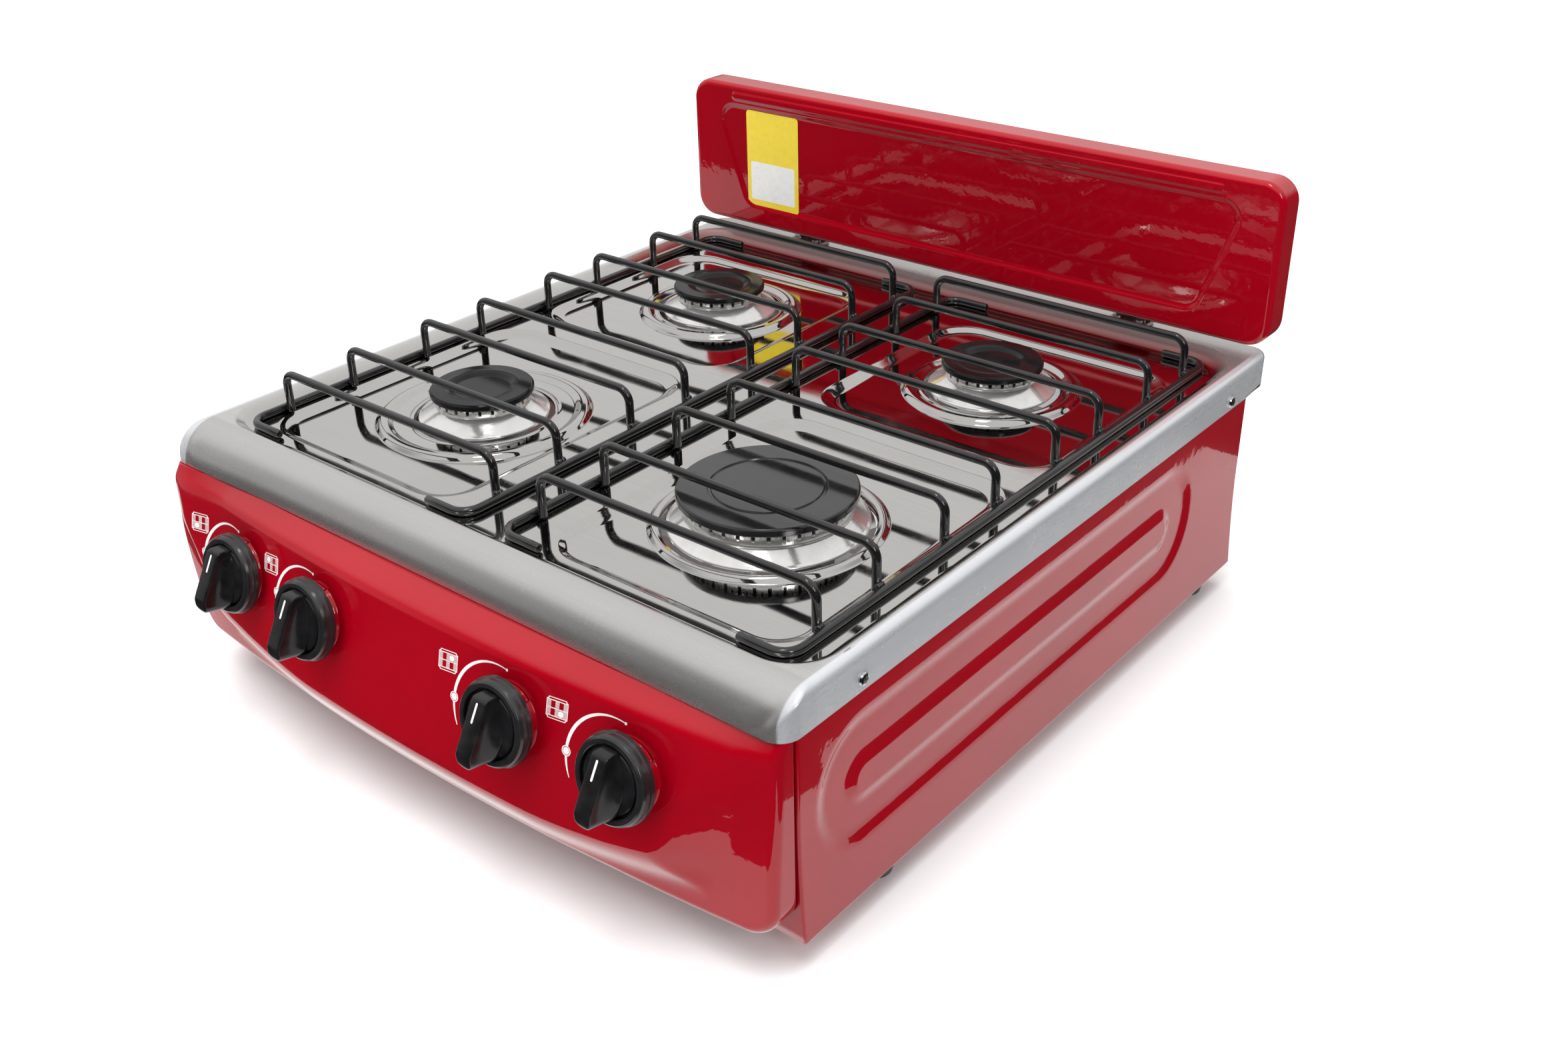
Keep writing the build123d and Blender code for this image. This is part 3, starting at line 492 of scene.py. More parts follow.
def make_enamel(name="red_enamel", base=(0.315, 0.0004, 0.0075), second=(0.270, 0.0003, 0.0065), peel=1.0, rough=0.16):
    m = Mat(name).set(Coat_Weight=1.0, Coat_Roughness=0.015, Coat_IOR=1.6, IOR=1.5, Specular_IOR_Level=0.03)
    cloud = m.noise(m.mapped(scale=(7, 7, 7)), 1.0, 3.0, 0.55)
    speck = m.noise(m.mapped(scale=(1500, 1500, 1500)), 1.0, 2.0, 0.6)
    c = m.mix(m.ramp(cloud, 0.3, 0.7), base, second)
    c = m.mix(m.ramp(speck, 0.60, 0.78, 0.0, 0.5), c, tuple(v * 1.25 for v in base))
    m.link(c, "Base Color")
    m.link(m.ramp(cloud, 0.3, 0.7, rough, rough + 0.08), "Roughness")
    # orange peel and the slow waves of the sheet under it
    peel1 = m.noise(m.mapped(scale=(330, 330, 330)), 1.0, 1.5, 0.5)
    peel2 = m.noise(m.mapped(scale=(75, 75, 75)), 1.0, 1.0, 0.5)
    n = m.bump(peel1, 0.00006 * peel, 0.32)
    n = m.bump(peel2, 0.00035 * peel, 0.22, under=n)
    m.link(n, "Normal")
    m.link(n, "Coat Normal")
    return m.m


def make_black_enamel(name="black_enamel", rough=0.10, grain=1.0, base=(0.006, 0.006, 0.0065)):
    m = Mat(name).set(Coat_Weight=0.6, Coat_Roughness=0.06, IOR=1.52)
    cloud = m.noise(m.mapped(scale=(60, 60, 60)), 1.0, 3.0, 0.6)
    speck = m.noise(m.mapped(scale=(2400, 2400, 2400)), 1.0, 2.0, 0.7)
    c = m.mix(m.ramp(cloud, 0.3, 0.7), base, tuple(v * 1.8 for v in base))
    c = m.mix(m.ramp(speck, 0.62, 0.8, 0.0, 0.6), c, tuple(v * 5 for v in base))
    m.link(c, "Base Color")
    m.link(m.ramp(cloud, 0.3, 0.7, rough, rough + 0.09), "Roughness")
    lump = m.noise(m.mapped(scale=(260, 260, 260)), 1.0, 2.0, 0.5)
    n = m.bump(lump, 0.00012 * grain, 0.35)
    n = m.bump(speck, 0.00001 * grain, 0.6, under=n)
    m.link(n, "Normal")
    m.link(n, "Coat Normal")
    return m.m


def make_cap(name, rough, k=1.0):
    m = Mat(name).set(Coat_Weight=0.5 * k ** 3, Coat_Roughness=0.06, IOR=1.5, Specular_IOR_Level=0.45 * k)
    speck = m.noise(m.mapped(scale=(2000, 2000, 2000)), 1.0, 3.0, 0.7)
    cloud = m.noise(m.mapped(scale=(45, 45, 45)), 1.0, 4.0, 0.6)
    c = m.mix(m.ramp(cloud, 0.3, 0.7), (0.006, 0.006, 0.0065), (0.010, 0.010, 0.0105))
    c = m.mix(m.ramp(speck, 0.58, 0.75, 0.0, 0.7), c, (0.030 * k, 0.030 * k, 0.031 * k))
    m.link(c, "Base Color")
    m.link(m.ramp(cloud, 0.3, 0.7, rough, rough + 0.08), "Roughness")
    n = m.bump(speck, 0.00002, 0.7)
    n = m.bump(m.noise(m.mapped(scale=(110, 110, 110)), 1.0, 2.0, 0.5), 0.0002, 0.2, under=n)
    m.link(n, "Normal")
    m.link(n, "Coat Normal")
    return m.m


def make_burner_metal(name, cx, cy):
    """pressed aluminium, turned on a lathe: rings about its own axis"""
    m = Mat(name).set(Metallic=0.78)
    p = m.mapped(loc=(-cx / 1000, -(cy + YS) / 1000, 0))
    sep = m.node("ShaderNodeSeparateXYZ", {0: p})
    x, y, z = sep.outputs
    rr = m.math("SQRT", m.math("ADD", m.math("MULTIPLY", x, x), m.math("MULTIPLY", y, y)))
    ring = m.node("ShaderNodeCombineXYZ", {0: m.math("MULTIPLY", rr, 2600.0), 1: m.math("MULTIPLY", z, 2600.0)}).outputs[0]
    turn = m.noise(ring, 1.0, 3.0, 0.65)
    wide = m.node("ShaderNodeCombineXYZ", {0: m.math("MULTIPLY", rr, 420.0), 1: m.math("MULTIPLY", z, 420.0)}).outputs[0]
    broad = m.noise(wide, 1.0, 2.0, 0.5)
    blot = m.noise(m.mapped(scale=(80, 80, 80)), 1.0, 4.0, 0.6)
    c = m.mix(m.ramp(blot, 0.35, 0.7), (0.86, 0.855, 0.84), (0.74, 0.735, 0.72))
    c = m.mix(m.ramp(turn, 0.4, 0.7, 0.0, 0.25), c, (0.62, 0.61, 0.60))
    m.link(c, "Base Color")
    m.link(m.math("ADD", m.ramp(turn, 0.3, 0.7, 0.10, 0.18), m.ramp(blot, 0.55, 0.75, 0.0, 0.12)), "Roughness")
    n = m.bump(turn, 0.00002, 0.5)
    n = m.bump(broad, 0.0001, 0.35, under=n)
    n = m.bump(m.noise(m.mapped(scale=(140, 140, 140)), 1.0, 2.0, 0.5), 0.0003, 0.22, under=n)
    m.link(n, "Normal")
    return m.m


def make_plastic(name="black_plastic", base=(0.006, 0.006, 0.0065)):
    m = Mat(name).set(IOR=1.5, Specular_IOR_Level=0.45)
    cloud = m.noise(m.mapped(scale=(120, 120, 120)), 1.0, 4.0, 0.6)
    dust = m.noise(m.mapped(scale=(2600, 2600, 2600)), 1.0, 2.0, 0.7)
    c = m.mix(m.ramp(cloud, 0.35, 0.7), base, tuple(v * 2.2 for v in base))
    c = m.mix(m.ramp(dust, 0.68, 0.82, 0.0, 0.4), c, (0.035, 0.035, 0.037))
    m.link(c, "Base Color")
    m.link(m.ramp(cloud, 0.3, 0.7, 0.13, 0.24), "Roughness")
    scratch = m.noise(m.mapped(scale=(1300, 1300, 1300)), 1.0, 2.0, 0.6)
    m.link(m.bump(scratch, 0.00001, 0.6), "Normal")
    return m.m


def make_ring_plastic(name, xk):
    """the knob's turned rim: fine rings about the knob's own axis, and a worn grey sheen"""
    m = Mat(name).set(IOR=1.5, Specular_IOR_Level=0.7)
    oy, oz = knob_origin(xk)[1:]
    p = m.mapped(loc=(-xk / 1000, -(oy + YS) / 1000, -oz / 1000))
    p = m.node("ShaderNodeVectorRotate", {"Vector": p, "Angle": -(math.pi / 2 - TILT)}, rotation_type="X_AXIS").outputs[0]
    sep = m.node("ShaderNodeSeparateXYZ", {0: p})
    x, y, z = sep.outputs
    rr = m.math("SQRT", m.math("ADD", m.math("MULTIPLY", x, x), m.math("MULTIPLY", y, y)))
    ring = m.node("ShaderNodeCombineXYZ", {0: m.math("MULTIPLY", rr, 3000.0), 1: m.math("MULTIPLY", z, 3000.0)}).outputs[0]
    turn = m.noise(ring, 1.0, 3.0, 0.65)
    cloud = m.noise(m.mapped(scale=(90, 90, 90)), 1.0, 4.0, 0.6)
    c = m.mix(m.ramp(cloud, 0.3, 0.7), (0.008, 0.008, 0.009), (0.015, 0.015, 0.016))
    c = m.mix(m.ramp(turn, 0.45, 0.75, 0.0, 0.4), c, (0.035, 0.035, 0.037))
    m.link(c, "Base Color")
    m.link(m.ramp(turn, 0.3, 0.7, 0.14, 0.25), "Roughness")
    m.link(m.bump(turn, 0.00003, 0.6), "Normal")
    return m.m


def make_metal(name, a, b, r0, r1, scale=60.0, bump=0.00005, metallic=1.0, cell=False):
    m = Mat(name).set(Metallic=metallic)
    n1 = m.noise(m.mapped(scale=(scale, scale, scale)), 1.0, 4.0, 0.6)
    f = m.ramp(n1, 0.3, 0.7)
    if cell:
        v = m.node("ShaderNodeTexVoronoi", {"Vector": m.mapped(scale=(130, 130, 130)), "Scale": 1.0, "Randomness": 1.0})
        g = m.node("ShaderNodeSeparateColor", {0: v.outputs["Color"]}).outputs[0]
        f = m.math("ADD", m.math("MULTIPLY", g, 0.7), m.math("MULTIPLY", f, 0.3))
    m.link(m.mix(f, a, b), "Base Color")
    m.link(m.math("ADD", m.math("MULTIPLY", f, r1 - r0), r0), "Roughness")
    fine = m.noise(m.mapped(scale=(scale * 25, scale * 25, scale * 25)), 1.0, 3.0, 0.6)
    m.link(m.bump(fine, bump, 0.5), "Normal")
    return m.m


def make_print():
    m = Mat("white_print").set(IOR=1.5, Coat_Weight=0.3, Coat_Roughness=0.1)
    n = m.noise(m.mapped(scale=(500, 500, 500)), 1.0, 3.0, 0.6)
    m.link(m.mix(m.ramp(n, 0.3, 0.7), (0.80, 0.79, 0.78), (0.70, 0.68, 0.67)), "Base Color")
    m.link(m.ramp(n, 0.3, 0.7, 0.3, 0.42), "Roughness")
    m.link(m.bump(m.noise(m.mapped(scale=(1500, 1500, 1500)), 1.0, 2.0, 0.5), 0.00001, 0.5), "Normal")
    return m.m


def make_paper(name, a, b):
    m = Mat(name).set(IOR=1.45, Coat_Weight=0.5, Coat_Roughness=0.12)
    n = m.noise(m.mapped(scale=(240, 240, 240)), 1.0, 4.0, 0.6)
    m.link(m.mix(m.ramp(n, 0.3, 0.7), a, b), "Base Color")
    m.link(m.ramp(n, 0.3, 0.7, 0.32, 0.44), "Roughness")
    m.link(m.bump(m.noise(m.mapped(scale=(90, 90, 90)), 1.0, 2.0, 0.5), 0.0001, 0.3), "Normal")
    return m.m


def knob_origin(xk):
    """where a knob's own axis meets its frame plane"""
    k = 5.4 if abs(xk) > 120 else 0.0
    return (xk, -264.9 + k * math.cos(TILT), 108.5 - k * math.sin(TILT))


def knob_space(xk):
    """rotation and origin of a knob's own frame: third axis outwards, second up"""
    s, c = math.sin(TILT), math.cos(TILT)
    rot = np.array([[1, 0, 0], [0, s, -c], [0, c, s]])  # columns are the local axes
    return rot, np.array(knob_origin(xk))


STEEL = make_steel()
RED = make_enamel()
BLACK = make_black_enamel()
CAP_BIG = make_cap("cap_enamel_satin", 0.12)
CAP_SMALL = make_cap("cap_enamel_gloss", 0.10, 0.45)
PLASTIC = make_plastic()
PRINT = make_print()
YELLOW = make_paper("sticker_yellow", (0.86, 0.66, 0.04), (0.80, 0.60, 0.03))
WHITE = make_paper("sticker_white", (0.82, 0.82, 0.80), (0.75, 0.75, 0.73))
GALV = make_metal("galvanised_steel", (0.50, 0.51, 0.52), (0.66, 0.67, 0.68), 0.32, 0.48, 40.0, 0.00004, cell=True)
PIPE = make_metal("pipe_steel", (0.34, 0.34, 0.34), (0.48, 0.48, 0.47), 0.34, 0.52)
CAST = make_metal("cast_aluminium", (0.52, 0.52, 0.53), (0.64, 0.64, 0.64), 0.45, 0.60, 90.0, 0.0002)
TAPM = make_metal("tap_aluminium", (0.58, 0.58, 0.58), (0.70, 0.70, 0.69), 0.35, 0.50, 90.0, 0.0001)
BRASS = make_metal("brass", (0.72, 0.50, 0.20), (0.80, 0.60, 0.28), 0.22, 0.36)
ZINC = make_metal("zinc", (0.62, 0.64, 0.66), (0.76, 0.77, 0.79), 0.16, 0.28, 200.0, 0.00003)
RUBBER = make_metal("rubber", (0.016, 0.016, 0.017), (0.030, 0.030, 0.031), 0.55, 0.75, 150.0, 0.0001, metallic=0.0)

SLOTS = {}
for row in frame["record"].get("nodes", []):
    SLOTS[row.get("id") or row.get("name")] = row


def dress(node, mat):
    ob = NODES[node]
    if not ob.material_slots:
        ob.data.materials.append(mat)
    for s in ob.material_slots:
        s.link = "OBJECT"
        s.material = mat


for node in NODES:
    if node.startswith(("burner_rail", "rear_panel", "manifold_brackets", "backsplash_brackets")):
        dress(node, GALV)
    elif node.startswith("gas_manifold"):
        dress(node, PIPE)
    elif node.startswith("mixing_tube"):
        dress(node, CAST)
    elif node.startswith(("tap_body", "tap_covers")):
        dress(node, TAPM)
    elif node.startswith(("tap_plug", "injectors", "gas_inlet")):
        dress(node, BRASS)
    elif node.endswith("screws") or node.startswith(("tap_stem", "tap_springs")):
        dress(node, ZINC)
    elif node == "feet":
        dress(node, RUBBER)
    elif node.startswith(("side_panel", "control_panel", "backsplash")):
        dress(node, RED)
    elif node.startswith("cooktop"):
        dress(node, STEEL)
    elif node.startswith("grate"):
        dress(node, BLACK)
    elif node.startswith("burner_cap"):
        dress(node, CAP_BIG)
    elif node.startswith("burner_head"):
        dress(node, CAST)
    elif node.startswith("knob"):
        dress(node, PLASTIC)


# ------------------------------------------------------------------ cooktop
def waves(p):
    """the slow unevenness of a pressed floor: height and its gradient"""
    x, y = p[:, 0], p[:, 1]
    terms = ((0.10, 1 / 61, 1 / 95, 0.7), (0.06, -1 / 33, 1 / 57, 1.9), (0.05, 1 / 27, 1 / 41, 4.0))
    h = np.zeros(len(p))
    gx, gy = np.zeros(len(p)), np.zeros(len(p))
    for a, kx, ky, ph in terms:
        s = kx * x + ky * y + ph
        h += a * np.sin(s)
        gx += a * kx * np.cos(s)
        gy += a * ky * np.cos(s)
    return h, gx, gy


def make_cooktop():
    s = Skin()
    up = (0, 0, 1.0)

    def recess(d):
        g = 0.8 * d
        return rect_loop(-240, 240, -206.5, 264, [24 + g, 27 + g * 1.3, 27 + g * 1.3, 24 + g], 12, (64, 60), (d, d * 15 / 6.5, d, d))

    prof = soft_profile([(-2.6, 169.4), (0, 169.4), (6.5, 175), (8.2, 175)], [1.7, 1.1], 5)
    wall = s.press(recess, *prof)
    wells = []
    for name, (bx, by, large, ro) in BURNERS.items():
        x0, x1 = (46, 216) if bx > 0 else (-216, -46)
        y0, y1 = (-190, 19) if by < 0 else (56, 222)
        loop = lambda d, a=x0, b=x1, c=y0, e=y1: rect_loop(a, b, c, e, 22 + 0.9 * d, 12, (26, 30), d)
        prof = soft_profile([(-3.0, 165.5), (0, 165.5), (6.4, 169.4), (8.0, 169.4)], [2.6, 1.3], 5)
        rows = s.press(loop, *prof)
        hole = 62.5 if large else 46.2
        crest = ro - 5.5
        pts = [(ro + 1.15, 0), (ro, 0), (crest + 2.2, 3.5), (crest - 2.4, 3.5)]
        rho = [0.9, 1.5, 1.5]
        if large:
            pts += [(hole + 1.3, 2.3), (hole + 0.15, 0.2), (hole, -1.0)]
            rho += [0.5, 0.4]
        else:
            pts += [(crest - 6.4, 0.9), (hole + 4.2, 0.9), (hole + 2.2, 1.7), (hole + 0.5, 1.3), (hole + 0.08, 0.0), (hole, -1.2)]
            rho += [1.2, 0.7, 0.8, 0.5, 0.2]
        pts = sorted(pts)
        dd = np.array([p[0] for p in pts])
        keep = [0]
        for k in range(1, len(dd)):
            if dd[k] - dd[keep[-1]] > 0.05:
                keep.append(k)
        pts = [pts[k] for k in keep]
        rho_of = {}
        d, z, m = soft_profile(pts, [min(0.9 if large else 0.9, 0.45 * min(pts[k][0] - pts[k - 1][0], pts[k + 1][0] - pts[k][0]) + 0.02) if pts[k][1] < 3 else 1.4
                                     for k in range(1, len(pts) - 1)], 4, extra=[0.5 * (pts[k][0] + pts[k + 1][0]) for k in range(len(pts) - 1)])
        ang = np.arange(150) * 2 * math.pi / 150
        ring = s.press(lambda q: np.stack([bx + q * np.cos(ang), by + q * np.sin(ang)], 1), d, z + 165.5, m)
        s.fill(rows[0], [ring[-1]], 8.0, lambda p: (np.column_stack([p, np.full(len(p), 165.5)]), up))
        wells.append(rows[-1])
    s.fill(wall[0], wells, 9.0, lambda p: (np.column_stack([p, np.full(len(p), 169.4)]), up))

    # rolled rim and aprons: level lines from the rim down
    def corner(xs, yf, rc, cy, rho, k=22):
        """front corner in plan, from the front line round to the side line: the fold where the roll meets the side"""
        ri = rc - rho
        dy = yf + rho - cy
        cx = xs - rc
        if dy < 0:
            px = cx + math.sqrt(max(0.0, ri * ri - dy * dy))
            tp = math.atan2(dy, max(1e-6, px - cx))
        else:
            px, tp = xs - rho, 0.0
        l1, l2 = rho * (tp + math.pi / 2), rc * (-tp)
        out = []
        for i in range(k + 1):
            l = (l1 + l2) * i / k
            if l <= l1:
                t = -math.pi / 2 + l / rho
                out.append((px + rho * math.cos(t), yf + rho + rho * math.sin(t)))
            else:
                t = tp + (l - l1) / rc
                out.append((cx + rc * math.cos(t), cy + rc * math.sin(t)))
        return np.array(out)

    near = np.array([0.0, 0.9, 1.8, 2.8, 3.9, 5.1, 6.4, 7.8, 9.4, 11.2, 13.4, 16.2, 20.0, 25.0, 32.0])
    phis = list(np.radians(np.concatenate([np.linspace(90, 66, 11), np.linspace(63.5, 6, 24), [3.0, 0.0]])))
    levels = [("roll", 151 + 24 * math.sin(f), f) for f in phis] + [("wall", 150.6, 0.0), ("wall", 150.0, 0.0)]
    grid = []
    for kind, z, f in levels:
        yf = -215 - (24 * math.cos(f))
        xs = 249.5 + math.sqrt(max(0.0, 5.5 ** 2 - max(0.0, z - 169.5) ** 2))
        yr = 300 + math.sqrt(max(0.0, 3.0 ** 2 - max(0.0, z - 172) ** 2))
        rr = 13.0 - 3.5 * max(0.0, 1 - (175 - z) / 5.5)
        cr = corner(xs, yf, 13.0, -226.0, 3.2)
        cl = corner(xs, yf, 7.0, -232.0, 3.0) * [-1, 1]
        rear = rect_loop(-xs, xs, -240, yr, [1.0, rr, rr, 1.0], 14, (70, 4))
        q = rear[rear[:, 1] > yr - rr - 0.01]
        side_r = np.concatenate([cr[-1:] + np.outer(near[1:], [0, 1.0]), [[xs, y] for y in np.linspace(-180, yr - rr - 6, 40)]])
        side_l = np.concatenate([cl[-1:] + np.outer(near[1:], [0, 1.0]), [[-xs, y] for y in np.linspace(-180, yr - rr - 6, 40)]])[::-1]
        fx = np.linspace(cl[0, 0] + 40, cr[0, 0] - 40, 50)
        fr = np.concatenate([np.column_stack([cl[0, 0] + near[1:], np.full(len(near) - 1, yf)]), np.column_stack([fx, np.full(50, yf)]),
                             np.column_stack([cr[0, 0] - near[1:][::-1], np.full(len(near) - 1, yf)])])
        # shallow hollow beside each fold, where the sheet is drawn in
        t = min(1.0, max(0.0, (174.6 - z) / 6)) * min(1.0, max(0.0, (z - 149.8) / 5))
        for sgn, c0 in ((1, cr[0, 0]), (-1, cl[0, 0])):
            d = sgn * (c0 - fr[:, 0])
            fr[:, 1] += t * (0.62 * np.exp(-((d - 6.5) / 3.6) ** 2) - 0.16 * np.exp(-((d - 16.0) / 5.0) ** 2))
        p = np.concatenate([cr, side_r, q, side_l, cl[::-1], fr])
        # the left front corner is pulled out towards its lower edge
        w = np.clip((-p[:, 0] - 150) / 90, 0, 1) * np.clip((-p[:, 1] - 120) / 100, 0, 1)
        w = w * w * (3 - 2 * w) * min(1.0, max(0.0, (175 - z) / 24)) ** 0.8
        p = p + np.stack([-4.6 * w, -1.6 * w], 1)
        zz = np.full(len(p), z)
        if kind == "wall":
            zz = zz + np.clip((p[:, 1] - 276) / 27, 0, 1) * 5.0
        grid.append(np.column_stack([p, zz]))
    g = np.array(grid)
    du = np.roll(g, -1, 1) - np.roll(g, 1, 1)
    dv = np.gradient(g, axis=0)
    no = np.cross(du, dv)
    out = g - [0, 30, 100]
    no[(no * (g - np.array([0, 32, 120]))).sum(2) < 0] *= -1
    no /= np.maximum(np.linalg.norm(no, axis=2), 1e-9)[:, :, None]
    no[0] = [0, 0, 1]
    flat = no[-3:].copy()
    flat[:, :, 2] = 0
    no[-3:] = flat / np.linalg.norm(flat, axis=2)[:, :, None]
    rows = [s.add(a, b) for a, b in zip(g, no)]
    s.band(rows)
    s.fill(rows[0], [wall[-1]], 9.0, lambda p: (np.column_stack([p, np.full(len(p), 175.0)]), up), gap=0.45)

    co, no = s.arrays()
    h, gx, gy = waves(co)
    amt = np.clip((175.3 - co[:, 2]) / 4.0, 0.22, 1.0) * (co[:, 2] > 160) * (np.abs(co[:, 0]) < 249) * (co[:, 1] > -213) * (co[:, 1] < 299)
    lift = no[:, 2] > 0.3
    amt = amt * lift
    co = co.copy()
    co[:, 2] += amt * h
    no = no - np.stack([gx * amt, gy * amt, np.zeros(len(co))], 1)
    no /= np.linalg.norm(no, axis=1)[:, None]
    co, faces, nl = thick(co, no, s.faces, 0.8)
    piece("cooktop_sheet", co, faces, nl, nodes=["cooktop"], mats=[STEEL])


# ------------------------------------------------------------------ control panel
def fascia_field():
    """front face of the control panel as a soft height field over x and z"""
    step = 1.5
    xs = np.arange(-264, 264.1, step)
    zs = np.arange(14, 160.1, step)
    x, z = np.meshgrid(xs, zs)
    sag = 16.0 * (x / 250.0) ** 2
    body = -264.4 + (z - 26) / 117.0 * 8.1 + sag
    facet = -266.7 - (108.5 - z) * math.tan(TILT) + sag
    # side limits of the knob field
    right = np.interp(z, [58, 71, 98, 143], [184, 192, 204, 234]) - x          # positive inside
    left = np.interp(z, [58, 66, 118, 143], [198, 208, 240, 246]) + x
    low = z - 57.0 - 10.0 * np.clip((np.abs(x) - 95.0) / 95.0, 0, 1.2) ** 1.5
    k = np.clip((right + 30.0) / 34.0, 0, 1) ** 1.4
    kl = np.clip(left / 15.0 + 0.5, 0, 1)
    kb = np.clip((low + 28.0) / 34.0, 0, 1)
    kb = kb * kb * (3 - 2 * kb)
    k = np.minimum(np.minimum(k, kl * kl * (3 - 2 * kl)), kb)
    y = body + (np.minimum(facet, body) - body) * k
    # the cap that runs back under the cooktop
    cap = -256.3 + sag + (z - 143.6) / 6.0 * (15.3 - (sag * (1 - 5.0 / 16.0)))
    y = np.maximum(y, cap)
    # blur, which rounds every crease as pressing does
    r = 4
    kern = np.exp(-0.5 * (np.arange(-r, r + 1) * step / 1.9) ** 2)
    kern /= kern.sum()
    pad = np.pad(y, ((r, r), (0, 0)), mode="reflect", reflect_type="odd")
    y = sum(kern[i] * pad[i:i + y.shape[0], :] for i in range(2 * r + 1))
    pad = np.pad(y, ((0, 0), (r, r)), mode="reflect", reflect_type="odd")
    y = sum(kern[i] * pad[:, i:i + y.shape[1]] for i in range(2 * r + 1))
    gz, gx = np.gradient(y, step)
    return xs, zs, step, y, gx, gz


FIELD = fascia_field()


def stretch(co, no):
    """the panel's left end stands a little further out and forward than its right end"""
    x, z = co[:, 0], co[:, 2]
    a, b = 5.0, 6.5
    t = np.clip((-x - 197) / 52, 0, 1)
    w = np.clip((z - 20) / 95, 0, 1)
    s, sv = t * t * (3 - 2 * t), w * w * (3 - 2 * w)
    ds = -6 * t * (1 - t) / 52 * sv
    dz = s * 6 * w * (1 - w) / 95
    s = s * sv
    nx = (no[:, 0] + b * ds * no[:, 1]) / (1 - a * ds)
    out = np.stack([nx, no[:, 1], no[:, 2] + a * dz * nx + b * dz * no[:, 1]], 1)
    return co - np.stack([a * s, b * s, 0 * s], 1), out / np.linalg.norm(out, axis=1)[:, None]


def field_at(p, which=3):
    xs, zs, step = FIELD[:3]
    a = FIELD[which]
    u = np.clip((p[:, 0] - xs[0]) / step, 0, len(xs) - 1.001)
    v = np.clip((p[:, 1] - zs[0]) / step, 0, len(zs) - 1.001)
    i, j = u.astype(int), v.astype(int)
    fu, fv = u - i, v - j
    return (a[j, i] * (1 - fu) * (1 - fv) + a[j, i + 1] * fu * (1 - fv) + a[j + 1, i] * (1 - fu) * fv + a[j + 1, i + 1] * fu * fv)


def on_field(p):
    """u = x, v = z, h = -y: points on the control panel's face with normals"""
    y, gx, gz = field_at(p, 3), field_at(p, 4), field_at(p, 5)
    return np.column_stack([p, -y]), np.stack([gx, gz, np.ones(len(p))], 1)


